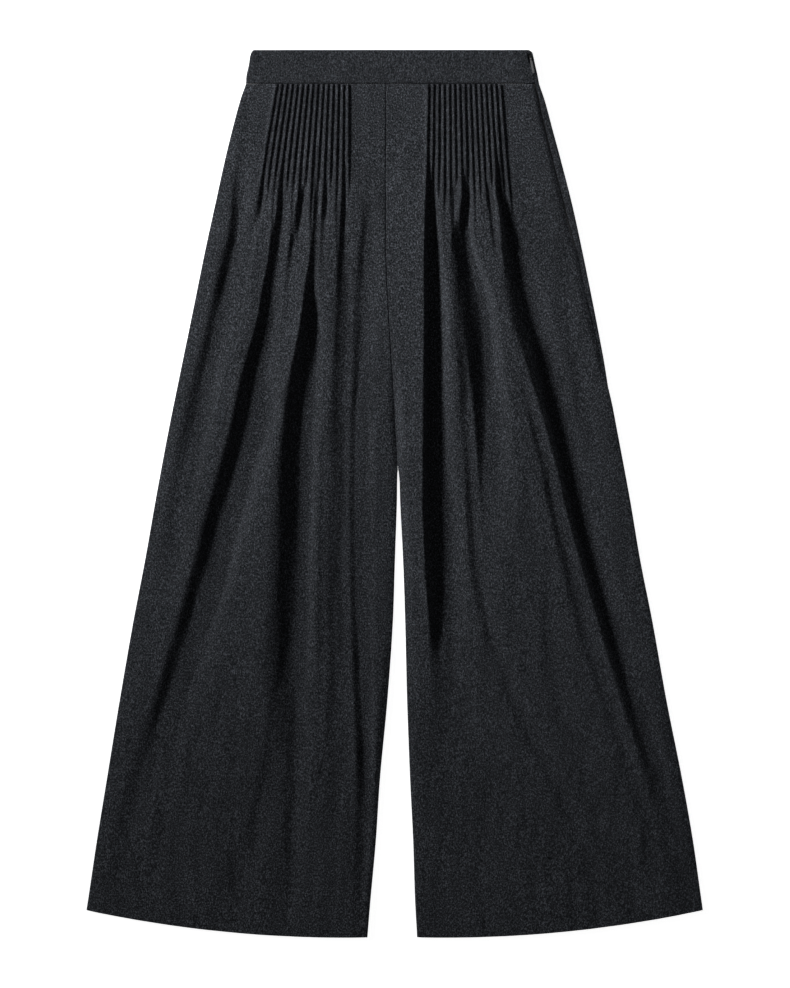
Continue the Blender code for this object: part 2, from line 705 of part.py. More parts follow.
def edge_points(edge, inwards, height, cloth, wrap):
    """Outer and inner (x, z) points of a panel's edge, from its lowest point to its shoulder.

    A wrap of 1 takes the cloth down to the surface that the garment lies on, and a wrap of 0 cuts
    it square, where it meets the next piece.
    """
    bottom = (1.0 - wrap) * (height - cloth)
    outer = [
        (0.3 * wrap, bottom),
        (0.0, bottom + 0.5 * (height - bottom)),
        (0.4 + 0.6 * wrap, height - 0.25 - 0.35 * wrap),
    ]
    square = [(1.0, height - cloth), (1.7, height - cloth), (2.4, height - cloth)]
    turned = [(1.3, 0.0), (1.25, 0.5 * height), (2.0, height - 1.4)]
    inner = [
        (a[0] + (b[0] - a[0]) * wrap, a[1] + (b[1] - a[1]) * wrap)
        for a, b in zip(square, turned)
    ]
    return [[(edge + inwards * x, z) for x, z in points] for points in (outer, inner)]


def back_top(drop):
    """Height of the back layer's upper side."""
    return CLOTH + (HEM_BACK - CLOTH) * ease((drop - (LENGTH - HEM_ALLOWANCE - 36.0)) / 30.0)


def under_side(x, z, thickness, least):
    """Points of the wall's inner surface: each outer point moved in along the section's normal."""
    slope_x = np.gradient(x)
    slope_z = np.gradient(z)
    length = np.hypot(slope_x, slope_z)
    inner_x = x + thickness * slope_z / length
    inner_z = z - thickness * slope_x / length
    for i in range(1, len(inner_x)):
        inner_x[i] = max(inner_x[i], inner_x[i - 1] + 0.2)
    return inner_x, np.maximum(inner_z, least)


def wraps(leg, row):
    """How far the lowest-X and the highest-X edge of a front panel wrap down, 0 or 1."""
    inner = float(ease((row - FORK_DROP) / 18.0))
    return (1.0, inner) if leg == "right" else (inner, 0.0)


def front_row(leg, row):
    """One cross-section of a front panel."""
    every = columns_of(leg, row)
    kept = np.array(KEPT_COLUMNS[leg])
    dense = row in TUCK_ROWS
    drop = row - hem_lift(every, row)
    height = front_height(leg, every, drop)
    in_hem = float(ease((row - (LENGTH - HEM_ALLOWANCE - 2.0)) / 4.0))
    cloth = CLOTH + (HEM_CLOTH - CLOTH) * in_hem
    rounding = 0.7 * float(ease((row - (LENGTH - 2.0)) / 2.0))
    least = back_top(drop[kept]) + SEAM_GAP + 0.05
    inner_x, inner_z = under_side(every[kept], height[kept], cloth, least)
    inner_z = inner_z + rounding * 0.6
    outer_z = height - rounding
    lead = OUTER_COLUMNS if leg == "right" else INNER_COLUMNS
    if dense:
        for number in range(TUCKS):
            outer_z[lead + 2 * number + 1] += tuck_height(row)
    low = settled(lambda d: sorted_edges(leg, d)[0], row)
    high = settled(lambda d: sorted_edges(leg, d)[1], row)
    low_wrap, high_wrap = wraps(leg, row)
    low_out, low_in = edge_points(low, 1, outer_z[0], min(cloth, outer_z[0] - inner_z[0]), low_wrap)
    high_out, high_in = edge_points(
        high, -1, outer_z[-1], min(cloth, outer_z[-1] - inner_z[-1]), high_wrap
    )
    used = np.arange(LAST_COLUMN + 1) if dense else kept
    outer = low_out + list(zip(every[used], outer_z[used])) + high_out[::-1]
    inner = low_in + list(zip(inner_x, inner_z)) + high_in[::-1]
    tail = [LAST_COLUMN + 1, LAST_COLUMN + 2, LAST_COLUMN + 3]
    return Row(
        [(x, row - float(hem_lift(x, row)), z) for x, z in outer],
        [(x, row - float(hem_lift(x, row)), z) for x, z in inner],
        [-3, -2, -1] + list(used) + tail,
        [-3, -2, -1] + list(kept) + tail,
    )


def back_row(leg, row, band=False):
    """One cross-section of a back panel or of the back waistband.

    Its outer side lies on the surface. Along the zip side it turns up and over into a lip, which
    the front meets.
    """
    if band:
        low = settled(lambda d: side_edge("right", d), row) + BACK_INSET
        high = settled(lambda d: side_edge("left", d), row)
    elif leg == "right":
        low = settled(lambda d: side_edge(leg, d), row) + BACK_INSET
        high = settled(lambda d: inner_edge(leg, d), row)
    else:
        low = settled(lambda d: inner_edge(leg, d), row)
        high = settled(lambda d: side_edge(leg, d), row)
    apart = BACK_INSET * float(ease((row - FORK_DROP + 8.0) / 8.0))
    thick = BAND_BACK if band else float(back_top(row))
    lip_cloth = BAND_CLOTH if band else CLOTH
    columns = 5
    if leg == "right" and not band:
        x = np.linspace(low, high - apart, columns)
        outer = [(place, 0.0) for place in x]
        inner = [(place, thick) for place in x]
    else:
        start = low if band else low + apart
        x = np.linspace(start, high - LIP_FOOT, columns)
        hem = float(ease((row - 1000.0) / 46.0))
        lip = BAND_HEIGHT if band else LIP_HEIGHT + (HEM_HEIGHT - LIP_HEIGHT) * hem
        wrap = float(curve(WRAP, 1, row))
        under, wall_in = lip - lip_cloth, high - LIP_WALL
        outer = [(place, 0.0) for place in x] + [
            (high - LIP_BEVEL, 0.0), (high, LIP_BEVEL), (high, lip - LIP_BEVEL),
            (high - LIP_BEVEL, lip), (high - wrap, lip),
        ]
        inner = [(place, thick) for place in x] + [
            (wall_in - LIP_INNER_BEVEL, thick), (wall_in, thick + LIP_INNER_BEVEL),
            (wall_in, under - LIP_INNER_BEVEL), (wall_in - LIP_INNER_BEVEL, under),
            (high - wrap, under),
        ]
    keys = list(range(len(outer)))
    return Row(
        [(x, row - float(hem_lift(x, row)), z) for x, z in outer],
        [(x, row - float(hem_lift(x, row)), z) for x, z in inner],
        keys,
        keys,
    )


def band_row(row, trim):
    """One cross-section of the front waistband. Trim rounds its top and bottom edges."""
    low = float(side_edge("right", row))
    seam = float(zip_seam(row)) - SEAM_GAP
    notch = NOTCH_DEPTH if NOTCH_START < row < NOTCH_END else 0.0
    x = np.linspace(low + EDGE_ROLL, seam - 9.0, 13)
    x = np.append(x, seam - notch - EDGE_ROLL)
    z = BAND_SIDE_HEIGHT + (BAND_HEIGHT - BAND_SIDE_HEIGHT) * ease((x - low) / 70.0)
    low_out, low_in = edge_points(low, 1, z[0] - trim, BAND_CLOTH - 2 * trim, 1.0)
    high_out, high_in = edge_points(seam - notch, -1, z[-1] - trim, BAND_CLOTH - 2 * trim, 0.0)
    outer = low_out + list(zip(x, z - trim)) + high_out[::-1]
    inner = low_in + list(zip(x, z - BAND_CLOTH + trim)) + high_in[::-1]
    keys = list(range(len(outer)))
    return Row([(a, row, b) for a, b in outer], [(a, row, b) for a, b in inner], keys, keys)


def strip(mesh, a, a_keys, b, b_keys):
    """Faces between two lines of vertices. Where one line has more of them, it fans out."""
    i = j = 0
    while i < len(a) - 1 or j < len(b) - 1:
        next_a = a_keys[i + 1] if i < len(a) - 1 else math.inf
        next_b = b_keys[j + 1] if j < len(b) - 1 else math.inf
        if next_a == next_b:
            mesh.faces.new((a[i], a[i + 1], b[j + 1], b[j]))
            i, j = i + 1, j + 1
        elif next_a < next_b:
            mesh.faces.new((a[i], a[i + 1], b[j]))
            i += 1
        else:
            mesh.faces.new((a[i], b[j + 1], b[j]))
            j += 1


def wall(name, rows, colour):
    """A closed wall of cloth between the outer and the inner lines of its cross-sections."""
    mesh = bmesh.new()
    outer = [[vertex(mesh, point) for point in row.outer] for row in rows]
    inner = [[vertex(mesh, point) for point in row.inner] for row in rows]
    for number in range(len(rows) - 1):
        here, below = rows[number], rows[number + 1]
        strip(mesh, outer[number], here.outer_keys, outer[number + 1], below.outer_keys)
        strip(mesh, inner[number], here.inner_keys, inner[number + 1], below.inner_keys)
        for end in (0, -1):
            mesh.faces.new(
                (outer[number][end], outer[number + 1][end], inner[number + 1][end],
                 inner[number][end])
            )
    for end in (0, -1):
        strip(mesh, outer[end], rows[end].outer_keys, inner[end], rows[end].inner_keys)
    return finished(name, mesh, colour)


def vertex(mesh, point):
    """A vertex from (x, drop, z) in millimetres."""
    x, drop, z = point
    return mesh.verts.new((x * MM, (LENGTH / 2.0 - drop) * MM, z * MM))


def finished(name, mesh, colour, metallic=0.0, roughness=0.95):
    """Closes a mesh's normals and puts it in the scene as an object with its own material."""
    bmesh.ops.recalc_face_normals(mesh, faces=mesh.faces)
    data = bpy.data.meshes.new(name)
    mesh.to_mesh(data)
    mesh.free()
    data.shade_smooth()
    data.set_sharp_from_angle(angle=SHARP)
    data.materials.append(material(name, colour, metallic, roughness))
    piece = bpy.data.objects.new(name, data)
    bpy.context.scene.collection.objects.link(piece)
    return piece


def material(name, colour, metallic, roughness):
    """A Principled material for one piece."""
    made = bpy.data.materials.new(name)
    made.use_nodes = True
    shader = made.node_tree.nodes["Principled BSDF"]
    shader.inputs["Base Color"].default_value = colour
    shader.inputs["Metallic"].default_value = metallic
    shader.inputs["Roughness"].default_value = roughness
    return made


def side_zip():
    """The zip's tape with its closed chain, lying behind the side seam."""
    drops = np.linspace(ZIP_START, ZIP_END, 16)
    rows = []
    for drop in drops:
        seam = float(zip_seam(drop))
        x = [seam - TAPE_IN, seam - CHAIN_HALF - 4.0, seam - CHAIN_HALF - 3.4,
             seam - CHAIN_HALF - 0.6, seam - CHAIN_HALF, seam + TAPE_OUT]
        tops = [TAPE_TOP, TAPE_TOP, CHAIN_TOP, CHAIN_TOP, TAPE_TOP, TAPE_TOP]
        keys = list(range(len(x)))
        rows.append(Row(
            [(a, drop, z) for a, z in zip(x, tops)],
            [(a, drop, TAPE_BOTTOM) for a in x],
            keys,
            keys,
        ))
    return wall("side_zip", rows, TAPE_COLOUR)


def disc_outline(radius, steps=16):
    """Points of a circle in the plane across the pin: (along the tab, up)."""
    turns = [2.0 * math.pi * step / steps for step in range(steps)]
    return [(radius * math.cos(turn), radius * math.sin(turn)) for turn in turns]


def prism(mesh, outline, low, high):
    """A closed prism of an (along, up) outline, between two places across."""
    ends = [
        [mesh.verts.new((across * MM, along * MM, up * MM)) for along, up in outline]
        for across in (low, high)
    ]
    count = len(outline)
    for i in range(count):
        after = (i + 1) % count
        mesh.faces.new((ends[0][i], ends[0][after], ends[1][after], ends[1][i]))
    mesh.faces.new(ends[0][::-1])
    mesh.faces.new(ends[1])


def knuckle(mesh):
    """The tab's ring round the pin."""
    rings = [
        [
            [mesh.verts.new((across * MM, a * MM, u * MM)) for a, u in disc_outline(radius)]
            for across in (-KNUCKLE_WIDTH / 2.0, KNUCKLE_WIDTH / 2.0)
        ]
        for radius in (KNUCKLE_RADIUS, KNUCKLE_BORE)
    ]
    count = len(rings[0][0])
    loops = (rings[0][0], rings[0][1], rings[1][1], rings[1][0])
    for here, there in zip(loops, loops[1:] + loops[:1]):
        for i in range(count):
            after = (i + 1) % count
            mesh.faces.new((here[i], here[after], there[after], there[i]))


def helper(name, build):
    """A cutter or a joined shape: a mesh object that isn't a piece of its own."""
    mesh = bmesh.new()
    build(mesh)
    bmesh.ops.recalc_face_normals(mesh, faces=mesh.faces)
    data = bpy.data.meshes.new(name)
    mesh.to_mesh(data)
    mesh.free()
    shape = bpy.data.objects.new(name, data)
    bpy.context.scene.collection.objects.link(shape)
    shape.hide_render = True
    shape.display_type = "WIRE"
    return shape


def join(piece, shape):
    """Unites a shape with a piece and places the two on the same frame."""
    shape.parent = piece
    union = piece.modifiers.new(shape.name, "BOOLEAN")
    union.operation = "UNION"
    union.object = shape


def on_pin(piece):
    """Puts a piece on the pin's frame: X across the tab, -Y along it, towards the hem."""
    piece.location = (PIN_X * MM, (LENGTH / 2.0 - PIN_DROP) * MM, PIN_Z * MM)
    piece.rotation_euler = (0.0, 0.0, TAB_LEAN)


def tab_outline():
    """Half widths of the tab along its length, from its neck to its rounded end."""
    points = [(0.6, KNUCKLE_WIDTH / 2.0), (TAB_NECK, KNUCKLE_WIDTH / 2.0)]
    points.append((TAB_SHOULDER, TAB_WIDTH / 2.0))
    end = TAB_LENGTH - TAB_WIDTH / 2.0
    for step in range(7):
        turn = math.pi / 2.0 * step / 6.0
        points.append((end + TAB_WIDTH / 2.0 * math.sin(turn), TAB_WIDTH / 2.0 * math.cos(turn)))
    return points


def tab_plate(mesh):
    """The tab's flat plate, a little below the pin's axis."""
    right = [(-half, -along) for along, half in tab_outline()]
    left = [(half, -along) for along, half in tab_outline()[:-1]]
    outline = right + left[::-1]
    bottom = TAB_BOTTOM - PIN_Z
    levels = [
        [mesh.verts.new((x * MM, y * MM, z * MM)) for x, y in outline]
        for z in (bottom, bottom + TAB_THICK)
    ]
    count = len(outline)
    for i in range(count):
        after = (i + 1) % count
        mesh.faces.new((levels[0][i], levels[0][after], levels[1][after], levels[1][i]))
    mesh.faces.new(levels[0][::-1])
    mesh.faces.new(levels[1])


def pull_tab():
    """The pull tab: a knuckle on the slider's pin, and a plate that lies down the seam."""
    mesh = bmesh.new()
    knuckle(mesh)
    tab = finished("zip_pull_tab", mesh, METAL_COLOUR, metallic=1.0, roughness=0.45)
    on_pin(tab)
    join(tab, helper("tab_plate", tab_plate))
    return tab


def ear(mesh, low, high):
    """One of the slider's two ears, from its body up round the pin."""
    foot = SLIDER_TOP - PIN_Z - 0.5
    top = [(a, u) for a, u in disc_outline(EAR_RADIUS) if u >= -1e-9]
    prism(mesh, top + [(-EAR_RADIUS, foot), (EAR_RADIUS, foot)], low, high)


def slider():
    """The slider: a rounded body in the seam, two ears and the pin between them."""
    mesh = bmesh.new()
    bmesh.ops.create_cube(mesh, size=1.0)
    size = (SLIDER_WIDTH * MM, SLIDER_LENGTH * MM, (SLIDER_TOP - SLIDER_BOTTOM) * MM)
    bmesh.ops.scale(mesh, vec=size, verts=mesh.verts)
    middle = (SLIDER_TOP + SLIDER_BOTTOM) / 2.0 - PIN_Z
    bmesh.ops.translate(mesh, vec=(0.0, 0.0, middle * MM), verts=mesh.verts)
    bmesh.ops.bevel(
        mesh, geom=list(mesh.edges), offset=0.5 * MM, segments=2, affect="EDGES", profile=0.5
    )
    piece = finished("zip_slider", mesh, METAL_COLOUR, metallic=1.0, roughness=0.45)
    on_pin(piece)
    inside = KNUCKLE_WIDTH / 2.0 + EAR_GAP
    outside = inside + EAR_THICK
    join(piece, helper("ear_a", lambda shape: ear(shape, -outside, -inside)))
    join(piece, helper("ear_b", lambda shape: ear(shape, inside, outside)))
    reach, pin_outline = outside - 0.1, disc_outline(PIN_RADIUS, 12)
    join(piece, helper("pin", lambda shape: prism(shape, pin_outline, -reach, reach)))
    return piece


def fronts():
    """The two front panels."""
    for leg in ("right", "left"):
        rows = [front_row(leg, row) for row in TUCK_ROWS + FOLD_ROWS]
        wall(f"front_{leg}_leg", rows, CLOTH_COLOUR)


def backs():
    """The two back panels."""
    for leg in ("right", "left"):
        rows = [back_row(leg, row) for row in TUCK_ROWS + FOLD_ROWS]
        wall(f"back_{leg}_leg", rows, CLOTH_COLOUR)


def waistband():
    """The two halves of the waistband."""
    end = BAND_DROP - SEAM_GAP / 2.0
    top = [(0.0, 0.6), (0.8, 0.15), (2.5, 0.0)]  # drops, and how much the edge is rounded there
    corners = [NOTCH_START - 0.2, NOTCH_START + 0.2, 11.0, NOTCH_END - 0.2, NOTCH_END + 0.2]
    levels = top + [(row, 0.0) for row in corners + [20.0, 26.0, 34.0, end - 1.0]] + [(end, 0.4)]
    wall("waistband_front", [band_row(row, trim) for row, trim in levels], BAND_COLOUR)
    rows = [0.0, 0.8, 2.5, 7.0, 12.0, 17.0, 20.0, 26.0, 34.0, end]
    wall("waistband_back", [back_row("left", row, band=True) for row in rows], BAND_COLOUR)


def main():
    """Clears the scene and builds every piece."""
    for thing in list(bpy.data.objects):
        bpy.data.objects.remove(thing, do_unlink=True)
    fronts()
    backs()
    waistband()
    side_zip()
    slider()
    pull_tab()


main()
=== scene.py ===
"""Looks of palazzo trousers laid flat: their flannel, their waistband and their side zip.

X runs across the garment, Y up to the waist and Z out of its front. Sizes are in millimetres and
become metres when a mesh is made. A drop is the distance down from the waist's top edge, and a place
across is X from the garment's middle. The wearer's right leg lies at -X.
"""

import sys
import logging
import math
from collections.abc import Callable
from dataclasses import dataclass
from enum import Enum

import bpy
import numpy as np
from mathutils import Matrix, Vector


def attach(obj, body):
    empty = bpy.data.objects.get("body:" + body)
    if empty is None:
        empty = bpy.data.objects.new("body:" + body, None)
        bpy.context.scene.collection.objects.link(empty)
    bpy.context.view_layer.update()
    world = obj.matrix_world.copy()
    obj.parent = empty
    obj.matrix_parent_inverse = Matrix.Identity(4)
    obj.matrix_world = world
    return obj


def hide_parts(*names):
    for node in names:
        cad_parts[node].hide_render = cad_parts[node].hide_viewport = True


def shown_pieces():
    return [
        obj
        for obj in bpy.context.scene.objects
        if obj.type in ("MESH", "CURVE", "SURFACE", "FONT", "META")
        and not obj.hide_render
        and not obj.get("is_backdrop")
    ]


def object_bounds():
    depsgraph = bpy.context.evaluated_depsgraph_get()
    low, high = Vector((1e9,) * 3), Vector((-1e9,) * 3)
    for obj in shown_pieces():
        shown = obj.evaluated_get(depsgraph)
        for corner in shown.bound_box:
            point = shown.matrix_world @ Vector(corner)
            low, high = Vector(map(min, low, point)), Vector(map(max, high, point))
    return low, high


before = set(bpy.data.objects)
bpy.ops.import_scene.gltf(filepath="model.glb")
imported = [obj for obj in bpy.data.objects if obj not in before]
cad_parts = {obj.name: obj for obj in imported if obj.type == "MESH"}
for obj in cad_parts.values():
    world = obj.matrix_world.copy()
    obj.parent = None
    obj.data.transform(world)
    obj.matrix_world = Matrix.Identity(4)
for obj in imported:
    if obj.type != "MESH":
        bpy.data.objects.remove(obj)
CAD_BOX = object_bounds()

log = logging.getLogger("trousers")

Array = np.ndarray
Table = tuple[tuple[float, ...], ...]
Colour = tuple[float, float, float]
Range = tuple[float, float]

WHITE: Colour = (1.0, 1.0, 1.0)

MM = 0.001
LENGTH = 1088.0  # waist edge to the lowest point of the hems
BAND_DROP = 41.5  # waistband height
FORK_DROP = 515.0  # where the legs part
SEAM_GAP = 0.3
CLOTH = 1.1  # one layer of flannel
BAND_CLOTH = 2.0  # the doubled front waistband
BAND_BACK = 1.6  # the doubled back waistband
HEM_CLOTH = 2.2  # the front where its hem is turned up
HEM_BACK = 2.0  # the back where its hem is turned up
HEM_ALLOWANCE = 42.0
HEM_APEX = 61.0  # place across of each hem's lowest point
HEM_RISE = 33.5  # how much higher the hem is at the side seam
HEM_REACH = 316.0  # how far across that is from the lowest point
EDGE_ROLL = 3.0  # how far in a rounded edge that goes down to the surface reaches
SEAM_ROLL = 1.0  # the same for an edge that ends in a seam
EDGE_CURL = math.radians(40.0)  # how far a rounded edge curls under
SIDE_HEIGHT = 3.6  # of a front just inside the side seam
LIP_HEIGHT = 4.4  # of the back where it has rolled round to the front
BAND_SIDE_HEIGHT = 4.0  # of the waistband just inside its closed side
BAND_HEIGHT = 5.2
HEM_HEIGHT = 4.8
BACK_INSET = 1.7  # the front wraps down outside the back's edge by this
SEAM_ASIDE = 1.5  # how far the back's centre seam lies beside the front's
SEAM_TURN = 372.0  # drop where the zip's seam starts to go round to the edge
SEAM_TURN_RUN = 70.0  # length over which it does
TUCKS = 15


class Leg(Enum):
    """The wearer's legs: the right one lies at -X."""

    RIGHT = "right"
    LEFT = "left"


@dataclass(frozen=True)
class Cut:
    """Cut of what shows of a piece of cloth."""

    flat: tuple[float, float]  # width and length in metres
    area: float  # square metres


FRONT_CUTS = {Leg.RIGHT: Cut((0.395, 1.05), 0.305), Leg.LEFT: Cut((0.40, 1.05), 0.307)}
BACK_CUTS = {Leg.RIGHT: Cut((0.382, 1.048), 0.292), Leg.LEFT: Cut((0.386, 1.048), 0.296)}
BAND_FRONT_CUT = Cut((0.356, 0.042), 0.0149)
BAND_BACK_CUT = Cut((0.365, 0.042), 0.0152)

# ---- Outline: place across of each side, at a drop ----
EDGES = (
    # drop, right side (at -X), left side (at +X)
    (0, 173.0, 165.0),
    (2, 175.0, 168.0),
    (7, 177.0, 170.0),
    (17, 178.5, 172.2),
    (32, 181.7, 175.6),
    (42, 182.5, 177.5),
    (52, 186.0, 181.0),
    (61, 189.0, 184.0),
    (98, 199.0, 194.0),
    (135, 208.0, 204.0),
    (190, 220.0, 218.0),
    (245, 232.0, 230.0),
    (319, 247.0, 245.0),
    (392, 262.0, 259.0),
    (466, 277.0, 273.0),
    (552, 293.0, 289.0),
    (626, 306.0, 301.5),
    (699, 320.0, 316.0),
    (797, 337.0, 333.5),
    (895, 353.0, 353.0),
    (969, 365.0, 366.0),
    (1043, 376.0, 376.5),
    (1088, 383.0, 383.0),
)
# X of the seam down the centre, and below the fork of the two inner edges
CENTRE_SEAM = (
    # drop, x
    (0, -10.8),
    (233, -10.8),
    (294, -8.6),
    (362, -4.9),
    (417, -1.8),
    (472, 1.2),
    (515, 4.3),
)
INNER_EDGES = (
    # drop, right leg, left leg
    (515, 3.9, 4.7),
    (522, 3.5, 5.6),
    (552, 3.1, 6.7),
    (626, 0.6, 10.4),
    (699, -1.8, 12.9),
    (797, -8.6, 15.3),
    (895, -17.8, 19.0),
    (969, -22.7, 22.7),
    (1043, -29.4, 25.1),
    (1088, -33.1, 27.6),
)
# How far the back rolls round to the front along the zip side
WRAP = (
    # drop, width
    (0, 2.0),
    (17, 2.15),
    (20, 3.8),
    (32, 4.6),
    (42, 5.0),
    (54, 6.0),
    (76, 8.0),
    (101, 8.6),
    (150, 9.6),
    (202, 9.2),
    (255, 6.7),
    (307, 6.1),
    (362, 3.7),
    (429, 2.6),
    (515, 2.4),
    (1088, 2.4),
)
# Heights down the garment: the least height of the front, how far its highest folds stand over
# that, and the height of the centre seam
HEIGHTS = (
    # drop, floor, crest, seam
    (0, 4.4, 0.4, 5.0),
    (42, 4.4, 0.5, 4.9),
    (100, 4.4, 1.0, 5.0),
    (126, 4.4, 1.9, 5.4),
    (150, 4.4, 3.9, 5.9),
    (170, 4.4, 6.2, 6.6),
    (190, 4.2, 8.2, 7.4),
    (221, 3.9, 10.4, 8.0),
    (258, 3.5, 12.0, 8.4),
    (331, 3.0, 13.8, 8.2),
    (454, 3.0, 14.4, 6.4),
    (500, 3.0, 14.2, 4.6),
    (515, 3.0, 14.0, 3.8),
    (576, 3.0, 13.4, 3.6),
    (699, 3.0, 11.2, 3.6),
    (822, 3.0, 9.0, 3.6),
    (883, 3.0, 7.6, 3.6),
    (944, 3.2, 5.6, 3.6),
    (1020, 4.0, 3.8, 4.0),
    (1046, 4.8, 3.0, 4.8),
    (1088, 4.8, 2.6, 4.8),
)
# X of the first and last tuck's ridge
TUCK_LINES = {
    # drop, lowest x, highest x
    Leg.RIGHT: ((42, -144.7, -57.0), (152, -162.5, -57.0), (190, -166.5, -57.5)),
    Leg.LEFT: ((42, 41.1, 129.4), (152, 38.6, 138.0), (190, 36.8, 142.0)),
}

# ---- Folds of the front. A fold falls on its low-x side and rises on its high-x side ----
# A main fold's depth is the share of the way down to the floor; a minor fold's is in millimetres.
MAIN_FOLDS = {
    Leg.RIGHT: {
        "outer_band": (
            # drop, x, depth, fall, floor, rise
            (126, -137, 0.0, 5, 1, 6),
            (172, -138, 0.5, 6, 1, 7),
            (190, -138, 0.55, 7, 1, 8),
            (221, -142, 0.55, 8, 1, 13),
            (258, -147, 0.5, 9, 1, 17),
            (294, -152, 0.72, 10, 3, 20),
            (331, -156, 0.9, 11, 6, 22),
            (392, -164, 0.95, 17, 14, 22),
            (454, -172, 1.0, 20, 22, 24),
            (515, -190, 1.0, 20, 18, 26),
            (576, -207, 0.98, 20, 18, 28),
            (638, -224, 0.95, 20, 16, 30),
            (699, -242, 0.95, 20, 14, 32),
            (760, -260, 0.95, 22, 13, 34),
            (822, -280, 0.85, 24, 12, 34),
            (883, -302, 0.65, 22, 10, 32),
            (944, -324, 0.35, 18, 7, 28),
            (1006, -345, 0.15, 12, 4, 22),
            (1061, -358, 0.05, 8, 3, 16),
        ),
        "middle_band": (
            (126, -95, 0.0, 4, 1, 5),
            (172, -95, 0.5, 4, 1, 5),
            (221, -96, 0.3, 5, 1, 6),
            (258, -99, 0.35, 6, 1, 7),
            (294, -101, 0.7, 10, 2, 9),
            (331, -101, 0.95, 11, 8, 14),
            (392, -105, 1.0, 18, 13, 14),
            (454, -108, 1.0, 28, 14, 14),
            (515, -109, 1.0, 36, 12, 13),
            (576, -110, 1.0, 40, 11, 13),
            (638, -112, 1.0, 42, 10, 14),
            (699, -113, 1.0, 44, 9, 15),
            (760, -115, 0.95, 44, 10, 16),
            (822, -118, 0.8, 42, 10, 19),
            (883, -127, 0.5, 38, 10, 25),
            (944, -131, 0.35, 30, 10, 27),
            (1006, -134, 0.22, 24, 10, 28),
            (1061, -138, 0.12, 20, 10, 30),
        ),
        "inner_band": (
            (126, -59, 0.0, 5, 1, 5),
            (172, -60, 0.6, 5, 1, 6),
            (221, -60, 0.55, 8, 2, 8),
            (258, -62, 0.4, 8, 2, 16),
            (331, -64, 0.32, 11, 3, 22),
            (392, -66, 0.32, 12, 3, 22),
            (454, -68, 0.34, 12, 3, 22),
            (576, -69, 0.38, 13, 4, 20),
            (699, -69, 0.45, 14, 5, 18),
            (760, -68, 0.52, 15, 5, 16),
            (822, -65, 0.6, 20, 6, 15),
            (883, -65, 0.35, 18, 6, 15),
            (944, -69, 0.15, 14, 6, 14),
            (1061, -66, 0.05, 14, 6, 14),
        ),
    },
    Leg.LEFT: {
        "inner_band": (
            # drop, x, depth, fall, floor, rise
            (126, 44, 0.0, 4, 1, 5),
            (168, 45, 0.85, 5, 3, 6),
            (184, 45, 0.92, 5, 5, 7),
            (221, 45, 1.0, 5, 7, 9),
            (258, 46, 1.0, 6, 9, 13),
            (331, 48, 1.0, 6, 12, 16),
            (392, 48, 1.0, 6, 13, 18),
            (454, 49, 1.0, 6, 15, 19),
            (515, 50, 1.0, 7, 16, 20),
            (576, 54, 1.0, 8, 23, 22),
            (638, 57, 0.97, 9, 22, 24),
            (699, 62, 0.85, 11, 20, 26),
            (748, 64, 0.5, 16, 12, 28),
            (822, 68, 0.25, 20, 10, 28),
            (908, 72, 0.12, 20, 10, 28),
            (1061, 82, 0.06, 20, 10, 28),
        ),
        "middle_band": (
            (126, 88, 0.0, 4, 1, 5),
            (172, 88, 0.7, 4, 2, 6),
            (196, 88, 0.9, 8, 3, 7),
            (221, 88, 1.0, 15, 4, 8),
            (258, 94, 1.0, 24, 6, 10),
            (294, 105, 1.0, 34, 8, 13),
            (331, 111, 1.0, 38, 6, 16),
            (362, 114, 1.0, 38, 6, 18),
            (392, 115, 1.0, 33, 8, 20),
            (423, 117, 0.95, 29, 10, 22),
            (454, 118, 0.82, 24, 12, 24),
            (515, 118, 0.6, 18, 12, 26),
            (576, 117, 0.36, 13, 11, 26),
            (638, 116, 0.12, 10, 6, 22),
            (699, 120, 0.04, 10, 6, 22),
            (1061, 150, 0.0, 12, 6, 22),
        ),
        "outer_band": (
            (126, 127, 0.0, 4, 1, 5),
            (172, 128, 0.85, 5, 1, 5),
            (190, 133, 0.95, 6, 2, 6),
            (221, 139, 1.0, 6, 4, 9),
            (245, 149, 1.0, 17, 9, 11),
            (258, 157, 1.0, 24, 10, 12),
            (294, 169, 1.0, 33, 14, 14),
            (331, 178, 1.0, 35, 12, 16),
            (362, 184, 1.0, 27, 12, 17),
            (417, 192, 1.0, 16, 13, 19),
            (466, 204, 1.0, 12, 14, 19),
            (515, 217, 1.0, 12, 14, 20),
            (576, 231, 1.0, 12, 14, 21),
            (638, 248, 1.0, 12, 13, 23),
            (699, 265, 0.95, 12, 12, 24),
            (742, 278, 0.88, 13, 11, 25),
            (785, 291, 0.78, 14, 10, 24),
            (828, 304, 0.66, 15, 10, 20),
            (871, 318, 0.55, 15, 9, 17),
            (914, 329, 0.42, 14, 8, 14),
            (957, 338, 0.32, 13, 6, 12),
            (1006, 345, 0.22, 12, 4, 10),
            (1061, 352, 0.15, 10, 4, 8),
        ),
    },
}
